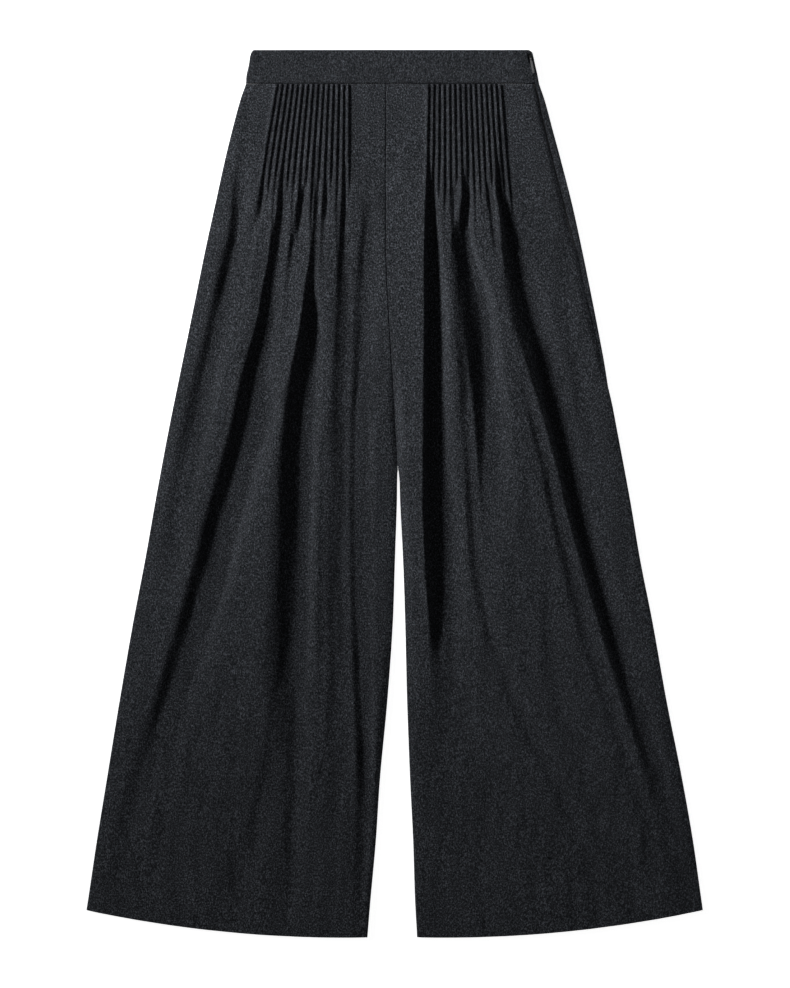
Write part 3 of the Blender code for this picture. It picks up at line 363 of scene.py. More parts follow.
MINOR_FOLDS = {
    Leg.RIGHT: {
        "side_dip": (
            # drop, x, depth, fall, floor, rise
            (61, -179, 0.6, 10, 2, 12),
            (135, -186, 1.3, 10, 2, 11),
            (172, -189, 3.4, 11, 2, 16),
            (221, -192, 4.8, 12, 2, 22),
            (258, -199, 5.4, 13, 3, 26),
            (294, -206, 5.8, 15, 4, 28),
            (331, -213, 6.2, 16, 5, 30),
            (392, -225, 7.0, 21, 4, 20),
            (454, -237, 5.8, 24, 6, 18),
            (515, -251, 4.2, 25, 7, 18),
            (576, -260, 3.2, 24, 6, 16),
            (640, -274, 1.6, 22, 5, 15),
            (700, -288, 0.0, 20, 5, 15),
        ),
        "upper_outer": (
            (150, -159, 0.0, 6, 1, 7),
            (172, -161, 2.0, 6, 1, 7),
            (196, -164, 3.2, 9, 1, 8),
            (221, -172, 2.4, 8, 1, 8),
            (258, -180, 1.4, 7, 1, 8),
            (294, -186, 0.8, 7, 1, 8),
            (343, -193, 0.0, 7, 1, 8),
        ),
        "band_foot": (
            (400, -152, 0.0, 8, 4, 12),
            (454, -160, 1.4, 9, 4, 16),
            (515, -180, 2.0, 10, 4, 18),
            (576, -197, 2.0, 10, 4, 20),
            (638, -213, 2.0, 10, 4, 20),
            (699, -233, 1.8, 10, 4, 20),
            (760, -255, 1.2, 10, 4, 20),
            (822, -272, 0.0, 10, 4, 20),
        ),
        "upper_middle": (
            (157, -106, 0.0, 5, 1, 6),
            (172, -111, 2.0, 5, 1, 7),
            (202, -116, 3.2, 7, 1, 8),
            (221, -118, 3.0, 8, 1, 16),
            (258, -126, 2.8, 9, 1, 20),
            (294, -128, 2.6, 10, 1, 20),
            (331, -130, 2.2, 9, 1, 13),
            (400, -140, 0.0, 7, 1, 9),
        ),
        "upper_inner": (
            (150, -80, 0.0, 4, 1, 4),
            (172, -82, 2.0, 5, 1, 5),
            (196, -84, 2.6, 6, 1, 6),
            (221, -86, 1.8, 7, 1, 8),
            (258, -86, 1.0, 7, 1, 7),
            (290, -87, 0.0, 7, 1, 7),
        ),
        "beside_centre": (
            (178, -34, 0.0, 9, 2, 10),
            (202, -31, 2.0, 9, 3, 10),
            (258, -34, 3.0, 11, 4, 15),
            (331, -37, 3.4, 13, 5, 18),
            (392, -39, 3.4, 13, 5, 18),
            (454, -41, 3.6, 13, 5, 18),
            (576, -40, 3.8, 14, 6, 16),
            (699, -38, 4.2, 14, 6, 13),
            (822, -35, 4.2, 13, 6, 10),
            (883, -34, 3.8, 11, 5, 8),
            (944, -35, 2.8, 12, 5, 6),
            (1006, -38, 1.8, 10, 3, 5),
            (1061, -43, 0.6, 9, 3, 6),
        ),
        "lower_middle": (
            (736, -113, 0.0, 10, 2, 10),
            (822, -117, 1.6, 13, 3, 13),
            (883, -119, 2.0, 15, 3, 14),
            (944, -121, 1.9, 18, 3, 15),
            (1006, -127, 1.3, 16, 3, 15),
            (1061, -132, 0.8, 14, 3, 14),
        ),
        "lower_outer": (
            (560, -194, 0.0, 9, 2, 10),
            (638, -206, 1.2, 9, 2, 10),
            (742, -239, 0.8, 10, 2, 11),
            (828, -259, 0.8, 11, 2, 12),
            (920, -282, 0.8, 11, 2, 12),
            (1006, -292, 0.7, 11, 2, 12),
            (1061, -297, 0.5, 11, 2, 12),
        ),
        "hem_fan": (
            (840, -150, 0.0, 18, 4, 15),
            (883, -152, 1.3, 20, 4, 16),
            (944, -162, 1.5, 20, 5, 18),
            (1006, -186, 1.5, 30, 5, 24),
            (1061, -202, 1.0, 30, 5, 26),
        ),
    },
    Leg.LEFT: {
        "upper_inner": (
            (157, 74, 0.0, 4, 1, 4),
            (172, 74, 2.2, 4, 1, 4),
            (221, 74, 1.6, 4, 1, 5),
            (240, 74, 0.6, 5, 1, 5),
            (262, 74, 0.0, 5, 1, 5),
        ),
        "upper_outer": (
            (157, 116, 0.0, 4, 1, 5),
            (172, 117, 2.4, 4, 1, 5),
            (221, 122, 2.6, 5, 1, 6),
            (260, 127, 0.9, 6, 1, 6),
            (282, 129, 0.0, 6, 1, 6),
        ),
        "diagonal": (
            (343, 79, 0.2, 9, 2, 6),
            (392, 85, 1.9, 9, 2, 6),
            (454, 90, 2.4, 9, 2, 7),
            (515, 94, 2.5, 9, 2, 8),
            (576, 98, 2.5, 10, 2, 9),
            (638, 103, 2.3, 10, 3, 10),
            (699, 117, 1.9, 12, 4, 12),
            (742, 129, 1.7, 12, 4, 13),
            (785, 144, 1.6, 12, 4, 14),
            (828, 162, 1.4, 12, 4, 14),
            (871, 184, 1.3, 12, 4, 15),
            (914, 206, 1.1, 12, 4, 15),
            (969, 228, 0.8, 12, 4, 15),
            (1061, 254, 0.6, 12, 4, 15),
        ),
        "beside_outer": (
            (405, 160, 0.0, 10, 2, 6),
            (442, 169, 2.2, 10, 2, 18),
            (515, 188, 2.8, 10, 2, 24),
            (576, 201, 2.9, 11, 2, 26),
            (638, 217, 2.8, 13, 2, 28),
            (699, 234, 2.4, 14, 3, 28),
            (760, 253, 1.9, 14, 4, 24),
            (828, 274, 1.4, 13, 4, 12),
            (920, 301, 0.8, 12, 4, 12),
            (1006, 322, 0.4, 12, 4, 12),
        ),
        "side_soft": (
            (150, 205, 0.0, 8, 2, 10),
            (202, 212, 0.9, 8, 2, 10),
            (331, 213, 0.9, 10, 2, 12),
            (417, 227, 0.6, 10, 3, 12),
            (491, 240, 0.0, 10, 3, 12),
        ),
        "long_fan": (
            (650, 176, 0.0, 14, 5, 18),
            (699, 193, 0.8, 16, 5, 18),
            (785, 200, 0.5, 16, 5, 18),
            (914, 240, 0.5, 16, 5, 20),
            (1061, 300, 0.4, 16, 5, 20),
        ),
        "hem_fan": (
            (880, 108, 0.0, 14, 4, 16),
            (960, 111, 0.7, 14, 4, 16),
            (1061, 118, 0.8, 14, 4, 16),
        ),
    },
}
# Height of the cloth between the main folds, as shares of the crest: for each stretch from low x
# to high x, at its low-x end and at its high-x end
SWELLS = {
    Leg.RIGHT: (
        # drop, side to outer band, outer to middle, middle to inner, inner to centre
        (190, 0.32, 0.72, 0.50, 0.66, 0.62, 0.60, 0.50, 0.45),
        (258, 0.30, 0.68, 0.42, 0.66, 0.54, 0.56, 0.34, 0.34),
        (331, 0.18, 0.66, 0.34, 0.94, 0.44, 0.50, 0.24, 0.26),
        (392, 0.22, 0.74, 0.34, 1.10, 0.38, 0.46, 0.22, 0.24),
        (454, 0.24, 0.82, 0.32, 1.34, 0.34, 0.44, 0.18, 0.20),
        (515, 0.24, 0.82, 0.33, 1.46, 0.33, 0.42, 0.16, 0.14),
        (576, 0.22, 0.80, 0.34, 1.50, 0.34, 0.42, 0.16, 0.12),
        (638, 0.22, 0.80, 0.32, 1.52, 0.36, 0.44, 0.18, 0.14),
        (699, 0.22, 0.82, 0.30, 1.52, 0.38, 0.46, 0.24, 0.18),
        (760, 0.25, 0.84, 0.32, 1.30, 0.43, 0.50, 0.36, 0.30),
        (822, 0.28, 0.85, 0.34, 1.04, 0.48, 0.55, 0.48, 0.42),
        (944, 0.30, 0.75, 0.42, 0.85, 0.58, 0.60, 0.58, 0.48),
        (1088, 0.30, 0.70, 0.50, 0.75, 0.60, 0.60, 0.60, 0.50),
    ),
    Leg.LEFT: (
        # drop, centre to inner band, inner to middle, middle to outer, outer to side
        (190, 0.40, 0.95, 0.42, 0.75, 0.36, 0.95, 0.14, 0.10),
        (258, 0.38, 0.95, 0.56, 1.02, 0.56, 1.14, 0.14, 0.10),
        (331, 0.45, 0.88, 0.66, 1.24, 0.80, 1.20, 0.14, 0.10),
        (362, 0.48, 0.88, 0.66, 1.24, 0.84, 1.10, 0.14, 0.10),
        (400, 0.50, 0.88, 0.58, 1.08, 0.78, 0.98, 0.14, 0.10),
        (454, 0.54, 0.90, 0.40, 0.86, 0.76, 0.94, 0.14, 0.10),
        (515, 0.60, 1.02, 0.40, 0.74, 0.80, 0.92, 0.14, 0.10),
        (576, 0.55, 1.22, 0.38, 0.64, 0.84, 0.92, 0.14, 0.10),
        (638, 0.55, 1.28, 0.40, 0.64, 0.85, 0.92, 0.16, 0.10),
        (699, 0.55, 1.12, 0.42, 0.64, 0.84, 0.92, 0.20, 0.12),
        (860, 0.50, 0.60, 0.55, 0.65, 0.75, 0.88, 0.35, 0.20),
        (1088, 0.50, 0.50, 0.60, 0.65, 0.68, 0.80, 0.40, 0.25),
    ),
}
# The hollow along the centre seam above the fork
SEAM_HOLLOW = (
    # drop, depth
    (331, 0.0),
    (392, 1.8),
    (454, 3.2),
    (490, 2.2),
    (515, 0.0),
)
HOLLOW_ASIDE, HOLLOW_WIDTH = 2.5, 5.5  # from the seam towards +X, and half its width
# How far in from its lowest and from its highest X a front has risen to its full height
SHOULDERS = {Leg.RIGHT: (18.0, 12.0), Leg.LEFT: (12.0, 14.0)}
CREASE_BOW = 0.6  # how far a crease bends aside, as a share of its width
CREASE_TURNS = 5.0  # radians of that bend along it
CREASE_FADE = 3.0  # a crease fades out over one part in this many at each end
# Shallow creases of the fronts, from one end to the other
CREASES = (
    # x, drop, x, drop, width, depth
    (-196, 96, -214, 238, 7, 0.25),
    (-172, 70, -196, 206, 6, 0.2),
    (-232, 300, -252, 470, 9, 0.3),
    (-276, 520, -318, 760, 10, 0.35),
    (-246, 560, -286, 800, 9, 0.3),
    (-205, 640, -250, 900, 11, 0.35),
    (-176, 600, -206, 860, 9, 0.25),
    (-96, 330, -92, 560, 7, 0.3),
    (-88, 640, -94, 900, 9, 0.3),
    (-24, 260, -22, 420, 6, 0.2),
    (-14, 560, -24, 820, 7, 0.25),
    (-300, 860, -330, 1010, 10, 0.35),
    (-60, 880, -62, 1040, 8, 0.25),
    (14, 200, 20, 470, 7, 0.25),
    (30, 640, 44, 900, 9, 0.3),
    (66, 380, 70, 620, 7, 0.3),
    (136, 300, 150, 470, 7, 0.35),
    (128, 480, 150, 700, 9, 0.3),
    (176, 620, 205, 820, 10, 0.35),
    (232, 420, 262, 600, 9, 0.3),
    (212, 240, 236, 420, 8, 0.25),
    (286, 640, 312, 800, 9, 0.3),
    (300, 900, 336, 1010, 8, 0.4),
    (318, 930, 356, 1046, 7, 0.4),
    (240, 900, 262, 1040, 11, 0.3),
    (96, 900, 104, 1040, 10, 0.3),
)
# Shallow creases pressed into the backs, which lie on the surface
BACK_CREASES = (
    (-60, 60, -78, 420, 14, 0.3),
    (-120, 80, -164, 520, 16, 0.3),
    (-168, 150, -246, 640, 18, 0.25),
    (-84, 480, -104, 960, 20, 0.3),
    (-210, 620, -290, 1020, 22, 0.3),
    (-150, 700, -186, 1040, 20, 0.25),
    (48, 60, 60, 460, 14, 0.3),
    (112, 90, 168, 560, 16, 0.3),
    (72, 520, 96, 980, 20, 0.3),
    (200, 560, 286, 1020, 22, 0.3),
    (140, 660, 180, 1040, 20, 0.25),
)
RIPPLE_AT_WAIST = 0.45  # what is left at the waist of the unevenness lower down
RIPPLE_RUN = 400.0  # drop where it is at its full height
# Slow unevenness of cloth that has been worn and pressed
RIPPLES = (
    # height, wavelength across, wavelength down, phase
    (0.15, 23.0, 260.0, 0.3),
    (0.12, 37.0, -410.0, 1.9),
    (0.07, 14.0, 170.0, 4.0),
    (0.06, 61.0, 90.0, 2.2),
    (0.04, 9.5, -130.0, 5.1),
)


def ease(t: Array) -> Array:
    """0 below 0 and 1 above 1, with a smooth step between."""
    t = np.clip(t, 0.0, 1.0)
    return t * t * (3.0 - 2.0 * t)


def mix(a: Array, b: Array, share: Array) -> Array:
    """a where share is 0 and b where it is 1."""
    return a + (b - a) * share


class Curve:
    """A smooth line through one column of a table, which never overshoots the table's rows."""

    def __init__(self, table: Table, column: int) -> None:
        """Works out the line's slope at each row.

        Args:
            table: rows that start with a drop.
            column: which value of the rows the line goes through.
        """
        self.knots = np.array([row[0] for row in table], float)
        self.values = np.array([row[column] for row in table], float)
        self.steps = np.diff(self.knots)
        slopes = np.diff(self.values) / self.steps
        tangents = np.concatenate([slopes[:1], (slopes[:-1] + slopes[1:]) / 2.0, slopes[-1:]])
        turns = np.concatenate([[False], slopes[:-1] * slopes[1:] <= 0.0, [False]])
        tangents[turns] = 0.0
        before = np.abs(np.concatenate([slopes[:1], slopes]))
        after = np.abs(np.concatenate([slopes, slopes[-1:]]))
        least = np.minimum(before, after)
        self.tangents = np.clip(tangents, -3.0 * least, 3.0 * least)

    def __call__(self, drop: Array) -> Array:
        """The column's value at a drop, or at an array of them."""
        drop = np.clip(drop, self.knots[0], self.knots[-1])
        at = np.searchsorted(self.knots, drop, side="right") - 1
        at = np.clip(at, 0, len(self.steps) - 1)
        step = self.steps[at]
        t = (drop - self.knots[at]) / step
        back = 1 - t
        start = self.values[at] * (1 + 2 * t) * back**2 + self.tangents[at] * step * t * back**2
        end = self.values[at + 1] * t * t * (3 - 2 * t) - self.tangents[at + 1] * step * t * t * back
        return start + end


class Relief:
    """The garment's heights at a drop."""

    floor = Curve(HEIGHTS, 1)
    crest = Curve(HEIGHTS, 2)
    seam = Curve(HEIGHTS, 3)
    seam_hollow = Curve(SEAM_HOLLOW, 1)


class Outline:
    """The garment's edges and seams, as places across at a drop."""

    right_side = Curve(EDGES, 1)
    left_side = Curve(EDGES, 2)
    centre = Curve(CENTRE_SEAM, 1)
    inner = {Leg.RIGHT: Curve(INNER_EDGES, 1), Leg.LEFT: Curve(INNER_EDGES, 2)}
    wrap = Curve(WRAP, 1)

    @classmethod
    def side_edge(cls, leg: Leg, drop: Array) -> Array:
        """X of the garment's outer edge."""
        return -cls.right_side(drop) if leg is Leg.RIGHT else cls.left_side(drop)

    @classmethod
    def inner_edge(cls, leg: Leg, drop: Array) -> Array:
        """X of the centre seam above the fork and of the leg's inner edge below it."""
        seam = cls.centre(drop) + (-0.5 if leg is Leg.RIGHT else 0.5) * SEAM_GAP
        return np.where(drop < FORK_DROP, seam, cls.inner[leg](drop))

    @classmethod
    def zip_seam(cls, drop: Array) -> Array:
        """X of the side seam that holds the zip."""
        return cls.side_edge(Leg.LEFT, drop) - cls.wrap(drop)


def hem_lift(x: Array, row: Array) -> Array:
    """How much higher than its nominal drop a point of a row is: the rows bend into the hem."""
    bend = ease((row - FORK_DROP) / (LENGTH - FORK_DROP))
    return bend * HEM_RISE * ((np.abs(x) - HEM_APEX) / HEM_REACH) ** 2


def settled(edge: Callable[[Array], Array], rows: Array) -> Array:
    """X of an edge on bent rows, where each depends on the other.

    Args:
        edge: gives X at a drop.
        rows: the rows' nominal drops.

    Returns:
        X of the edge on each row.
    """
    x = edge(rows)
    for _ in range(4):
        x = edge(rows - hem_lift(x, rows))
    return x


def back_top(drop: Array) -> Array:
    """Height of the back layer's upper side."""
    lead, run = 36.0, 30.0  # where it starts to thicken, above the turned-up hem's edge
    hem = ease((drop - (LENGTH - HEM_ALLOWANCE - lead)) / run)
    return CLOTH + (HEM_BACK - CLOTH) * hem


def to_side_seam(drop: Array) -> Array:
    """0 where the zip's seam lies in the front, and 1 where it has gone round to the edge."""
    return ease((drop - SEAM_TURN) / SEAM_TURN_RUN)


def creased(x: Array, drop: Array, table: Table) -> Array:
    """Depth of a table's shallow creases at each point."""
    depth = np.zeros(np.broadcast(x, drop).shape)
    for x0, drop0, x1, drop1, width, deepest in table:
        run = np.array([x1 - x0, drop1 - drop0], float)
        length = np.hypot(*run)
        along = ((x - x0) * run[0] + (drop - drop0) * run[1]) / length**2
        across = ((x - x0) * run[1] - (drop - drop0) * run[0]) / length
        bow = width * CREASE_BOW * np.sin(along * CREASE_TURNS + x0)
        ends = ease(along * CREASE_FADE) * ease((1.0 - along) * CREASE_FADE)
        depth += deepest * ends * np.exp(-(((across - bow) / width) ** 2))
    return depth


def rippled(x: Array, drop: Array) -> Array:
    """Height of the slow unevenness at each point."""
    long_sway = 7.0 * np.sin(drop / 71.0 + 0.6)
    short_sway = 3.0 * np.sin(drop / 23.0 + x / 90.0)
    bent = x + long_sway + short_sway
    height = sum(
        size * np.sin(2.0 * math.pi * (bent / across + drop / down) + phase)
        for size, across, down, phase in RIPPLES
    )
    return height * mix(RIPPLE_AT_WAIST, 1.0, ease(drop / RIPPLE_RUN))


class Fold:
    """A fold of a front, which falls on its low-x side and rises on its high-x side."""

    def __init__(self, rows: Table) -> None:
        """Works out the smooth line through each column.

        Args:
            rows: drop, x, depth, fall, floor and rise, from the waist down.
        """
        self.last = rows[-1][0]
        self.x, self.depth, self.fall, self.floor, self.rise = (Curve(rows, n) for n in range(1, 6))

    def trough(self, x: Array, drop: Array) -> Array:
        """1 on the fold's floor and 0 outside the fold."""
        across = x - self.x(drop)
        half = self.floor(drop) / 2.0
        fall = ease((-half - across) / self.fall(drop))
        rise = ease((across - half) / self.rise(drop))
        return 1.0 - fall - rise

    def fade(self, drop: Array) -> Array:
        """Fades out a fold that ends short of the hem."""
        near_hem, run = LENGTH - 60.0, 40.0
        return 1.0 if self.last > near_hem else 1.0 - ease((drop - self.last) / run)


def make_object(name: str, points: list, faces: list, sharp: float) -> bpy.types.Object:
    """Makes a smooth mesh and links it as an object.

    Args:
        name: the piece's name.
        points: places in metres.
        faces: point numbers of each face.
        sharp: the angle in degrees from which an edge stays sharp.

    Returns:
        The object.
    """
    data = bpy.data.meshes.new(name)
    data.from_pydata(points, [], faces)
    data.shade_smooth()
    data.set_sharp_from_angle(angle=math.radians(sharp))
    piece = bpy.data.objects.new(name, data)
    bpy.context.scene.collection.objects.link(piece)
    return piece


class Shell:
    """A closed thin wall of cloth between an outer and an inner grid of points."""

    def __init__(self, name: str, outer: Array, inner: Array, faces_down: bool = False) -> None:
        """Keeps the two grids.

        Args:
            name: the piece's name.
            outer: rows by columns by (x, drop, z).
            inner: the same for the wall's other side.
            faces_down: True where the outer grid is the underside.
        """
        self.name = name
        self.grids = np.stack([outer, inner])
        self.faces_down = faces_down

    def faces(self) -> Array:
        """The quads of both grids and of the strips that close their four borders."""
        _, rows, columns, _ = self.grids.shape
        index = np.arange(2 * rows * columns).reshape(2, rows, columns)

        def quads(a: Array, b: Array) -> Array:
            """Quads between two lines of points."""
            return np.stack([a[:-1], b[:-1], b[1:], a[1:]], axis=-1).reshape(-1, 4)

        outer = np.concatenate([quads(index[0, i], index[0, i + 1]) for i in range(rows - 1)])
        inner = outer[:, ::-1] + rows * columns
        borders = [
            quads(index[1, 0], index[0, 0]),
            quads(index[0, -1], index[1, -1]),
            quads(index[0, :, 0], index[1, :, 0]),
            quads(index[1, :, -1], index[0, :, -1]),
        ]
        found = np.concatenate([outer, inner, *borders])
        return found[:, ::-1] if self.faces_down else found

    def build(self) -> bpy.types.Object:
        """Makes the mesh in metres and links it as an object."""
        points = self.grids.reshape(-1, 3).copy()
        points[:, 1] = LENGTH / 2.0 - points[:, 1]
        return make_object(self.name, (points * MM).tolist(), self.faces().tolist(), 80.0)


def rounded_edge(
    edge: Array, inwards: int, height: Array, cloth: Array, wrap: Array
) -> tuple[Array, Array]:
    """The rounded edge of a panel on each row, from its lowest point to its shoulder.

    Args:
        edge: X of the edge on each row.
        inwards: 1 where the panel lies at higher X, and -1 where it lies at lower X.
        height: height of the shoulder.
        cloth: thickness of the wall.
        wrap: 1 where the cloth goes down to the surface, and 0 where it ends in a seam.

    Returns:
        The outer and the inner (x, z) points, rows by steps.
    """
    steps = 6
    most = 0.9  # of a rounding's radius that the wall may take
    edge, height, cloth, wrap = (np.asarray(v, float)[:, None] for v in (edge, height, cloth, wrap))
    angle = mix(-EDGE_CURL * wrap, math.pi / 2.0, np.linspace(0.0, 1.0, steps)[None, :])
    reach = mix(SEAM_ROLL, EDGE_ROLL, wrap)
    rise = mix(cloth, height / 2.0, wrap)
    sides = []
    for in_x, in_z in ((0.0, 0.0), (np.minimum(cloth, most * reach), np.minimum(cloth, most * rise))):
        x = edge + inwards * (in_x + (reach - in_x) * (1.0 - np.cos(angle)))
        sides.append(np.stack([x, height - rise + (rise - in_z) * np.sin(angle)], axis=-1))
    return sides[0], sides[1]


def laid(rows: Array, parts: list[Array]) -> Array:
    """A grid of (x, drop, z) points, from (x, z) points that stand side by side on each row."""
    line = np.concatenate(parts, axis=1)
    across = line[..., 0]
    return np.stack([across, rows[:, None] - hem_lift(across, rows[:, None]), line[..., 1]], axis=-1)


def edged(
    rows: Array,
    x: Array,
    sides: tuple[Array, Array],
    ends: tuple[Array, Array],
    wraps: tuple[Array, Array],
) -> list[Array]:
    """The two grids of a wall whose lowest-X and highest-X edges are rounded.

    Args:
        rows: the rows' nominal drops.
        x: X of the points between the edges.
        sides: height of the wall's outer side and of its inner side at them.
        ends: X of the lowest and of the highest edge on each row.
        wraps: for each edge, 1 where it goes down to the surface and 0 where it ends in a seam.

    Returns:
        The outer and the inner grid.
    """
    outer, inner = sides
    cloth = outer - inner
    low = rounded_edge(ends[0], 1, outer[:, 0], cloth[:, 0], wraps[0])
    high = rounded_edge(ends[1], -1, outer[:, -1], cloth[:, -1], wraps[1])
    return [
        laid(rows, [low[n][:, :-1], np.stack([x, z], axis=-1), high[n][:, -2::-1]])
        for n, z in enumerate(sides)
    ]


def end_rounding(rows: Array, end: float, radius: float) -> Array:
    """How far a wall's side falls back near the end of its rows, as on a rounded edge."""
    roundness = 0.98  # a full quarter circle would be 1, and would stand upright at the end
    near = np.clip(1.0 - np.abs(rows - end) / radius, 0.0, 1.0)
    return radius * (1.0 - np.sqrt(1.0 - roundness * near**2))


@dataclass
class ClothPiece:
    """A cut piece of cloth that lies on the surface or on another piece."""

    name: str
    node: str
    slot: str
    cut: Cut

    def dress(
        self,
        piece: bpy.types.Object,
        material: bpy.types.Material,
        below: bpy.types.Object | None = None,
    ) -> None:
        """Gives a piece its body and finish, and lets it stand for its solid.

        Args:
            piece: the piece's object.
            material: its finish.
            below: the piece that it lies on; not used.
        """
        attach(piece, "trousers")
        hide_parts(self.node)
        paint(piece, material)


@dataclass
class FrontPanel(ClothPiece):
    """One front of the trousers, from the waist seam to the hem."""

    leg: Leg
    rows_down: int = 322  # how many rows of points the panel has
    tuck_steps: int = 7  # columns in one tuck
    outer_steps: int = 16  # columns between the side edge and the tucks
    inner_steps: int = 18  # columns between the tucks and the centre
    spread: tuple[float, float] = (175.0, 330.0)  # where the columns spread evenly: drop and run
    tuck_height: float = 1.75
    tuck_end: float = 150.0  # drop where a tuck's stitching ends
    tuck_ragged: float = 12.0  # how far that end lies up or down from one tuck to the next
    tuck_opening: float = 42.0  # length over which a tuck opens
    flare: tuple[float, float] = (140.0, 176.0)  # drops where a flare starts and where it fades
    flare_height: float = 1.15
    waist_hollow: tuple[float, float] = (1.1, 2.6)  # along the waist seam: depth and width
    zip_hollow: tuple[float, float] = (1.8, 1.3)  # along the zip's seam
    pucker: tuple[float, float] = (0.12, 3.0)  # beside the seams: height and width
    calm: float = 12.0  # width beside the edges that stays smooth
    hem_step: float = 4.0  # length over which the turned-up hem thickens the wall
    steepest: float = 1.8  # most that a steep fall thickens the wall, measured straight down
    least: float = 0.5  # thickness that is left at the thinnest
    fork_run: float = 18.0  # length below the fork over which the inner edge goes down

    def __post_init__(self) -> None:
        """Gathers the folds and the rows."""
        self.main = [Fold(rows) for rows in MAIN_FOLDS[self.leg].values()]
        self.minor = [Fold(rows) for rows in MINOR_FOLDS[self.leg].values()]
        top = BAND_DROP + SEAM_GAP / 2.0
        near_top = top + np.array([0.3, 0.7, 1.2])
        near_end = LENGTH - np.array([3.2, 2.2, 1.4, 0.8, 0.35, 0.1])
        evenly = np.linspace(top, LENGTH, self.rows_down)
        self.rows = np.unique(np.concatenate([evenly, near_top, near_end]))

    def ends(self, drop: Array) -> tuple[Array, Array]:
        """The lowest and the highest X of the panel at a drop."""
        inner = Outline.inner_edge(self.leg, drop)
        if self.leg is Leg.RIGHT:
            return Outline.side_edge(self.leg, drop), inner
        seam = Outline.zip_seam(drop) - SEAM_GAP
        return inner, mix(seam, Outline.side_edge(self.leg, drop), to_side_seam(drop))

    def wraps(self) -> tuple[Array, Array]:
        """How far the lowest-X and the highest-X edge go down to the surface, on each row."""
        inner = ease((self.rows - FORK_DROP) / self.fork_run)
        if self.leg is Leg.RIGHT:
            return np.ones_like(self.rows), inner
        return inner, to_side_seam(self.rows)

    def edge_heights(self, drop: Array) -> tuple[Array, Array]:
        """Height of the panel just inside its lowest and its highest X."""
        lead = 46.0
        hem = ease((drop - (LENGTH - HEM_ALLOWANCE - lead)) / lead)
        seam = Relief.seam(drop)
        if self.leg is Leg.RIGHT:
            return mix(SIDE_HEIGHT, HEM_HEIGHT, hem), seam
        lip = mix(LIP_HEIGHT, SIDE_HEIGHT, to_side_seam(drop))
        return seam, mix(lip, HEM_HEIGHT, hem)

    def places(self, low: Array, high: Array) -> tuple[Array, Array]:
        """X of every column on every row, and the columns' count of tucks from the first one.

        Args:
            low: X where the columns start on each row.
            high: X where they end.

        Returns:
            X, rows by columns, and for each column the tucks before it, with its share of its own.
        """
        lines = TUCK_LINES[self.leg]
        first, last = Curve(lines, 1)(self.rows), Curve(lines, 2)(self.rows)
        pitch = (last - first) / (TUCKS - 1)
        count = np.arange(TUCKS * self.tuck_steps + 1) / self.tuck_steps
        tucks = first[:, None] + pitch[:, None] * (count[None, :] - 0.5)
        before, after = self.outer_steps, self.inner_steps
        if self.leg is Leg.LEFT:
            before, after = after, before
        lead = mix(low[:, None], tucks[:, :1], np.arange(before)[None, :] / before)
        tail = mix(tucks[:, -1:], high[:, None], np.arange(1, after + 1)[None, :] / after)
        gathered = np.concatenate([lead, tucks, tail], axis=1)
        even = mix(low[:, None], high[:, None], np.linspace(0.0, 1.0, gathered.shape[1])[None, :])
        spread = ease((self.rows - self.spread[0]) / self.spread[1])[:, None]
        tuck_count = np.full(gathered.shape[1], -1.0)
        tuck_count[before:before + len(count)] = count
        return mix(gathered, even, spread), tuck_count

    def form(self, x: Array, drop: Array) -> Array:
        """Height of the panel's outer side without its tucks and creases."""
        floor, crest = Relief.floor(drop), Relief.crest(drop)
        low, high = self.ends(drop)
        bounds = [low] + [fold.x(drop) for fold in self.main] + [high]
        share = 0.0
        for number in range(len(self.main) + 1):
            start, end = (Curve(SWELLS[self.leg], 2 * number + n)(drop) for n in (1, 2))
            across = (x - bounds[number]) / (bounds[number + 1] - bounds[number])
            swell = mix(start, end, np.clip(across, 0.0, 1.0))
            if number == 0:
                share = swell
                continue
            fold = self.main[number - 1]
            half = 1.0 + (fold.fall(drop) + fold.floor(drop)) / 2.0
            share = mix(share, swell, ease((x - bounds[number] + half) / (2.0 * half)))
        height = floor + crest * share
        for fold in self.main:
            height = mix(height, floor, fold.depth(drop) * fold.trough(x, drop))
        for fold in self.minor:
            height = height - fold.depth(drop) * fold.trough(x, drop) * fold.fade(drop)
        return self.rolled(x, drop, np.maximum(height, floor), low, high)

    def rolled(self, x: Array, drop: Array, height: Array, low: Array, high: Array) -> Array:
        """Brings the surface down to the panel's edges."""
        at_low, at_high = self.edge_heights(drop)
        near, far = SHOULDERS[self.leg]
        up_low = np.sin(np.clip((x - low) / near, 0, 1) * math.pi / 2)
        up_high = np.sin(np.clip((high - x) / far, 0, 1) * math.pi / 2)
        return mix(at_high, mix(at_low, height, up_low), up_high)

    def tucks(self, count: Array, drop: Array) -> Array:
        """Height of the stitched tucks, and of the short flares that they open into.

        Args:
            count: the tucks before each column, or -1 outside the tucks.
            drop: drop of every point.

        Returns:
            The height that they add, rows by columns.
        """
        inside = ((count >= 0.0) & (count < TUCKS))[None, :]
        number = np.floor(count)[None, :]
        share = (count - np.floor(count))[None, :]
        ridge = np.sin(np.clip(share / 0.5, 0, 1) * math.pi / 2) - ease((share - 0.56) / 0.28)
        end = self.tuck_ragged * np.sin(2.4 * number)
        stitched = 1.0 - ease((drop - self.tuck_end - end) / self.tuck_opening)
        strength = 0.25 + 0.75 * np.abs(np.sin(1.7 * number + 0.5))
        reach = 50.0 + 80.0 * np.abs(np.sin(2.1 * number + 1.0))
        start, fading = self.flare
        flare = strength * ease((drop - start) / 30.0) * (1.0 - ease((drop - fading) / reach))
        return inside * ridge * (self.tuck_height * stitched + self.flare_height * flare * (1 - stitched))

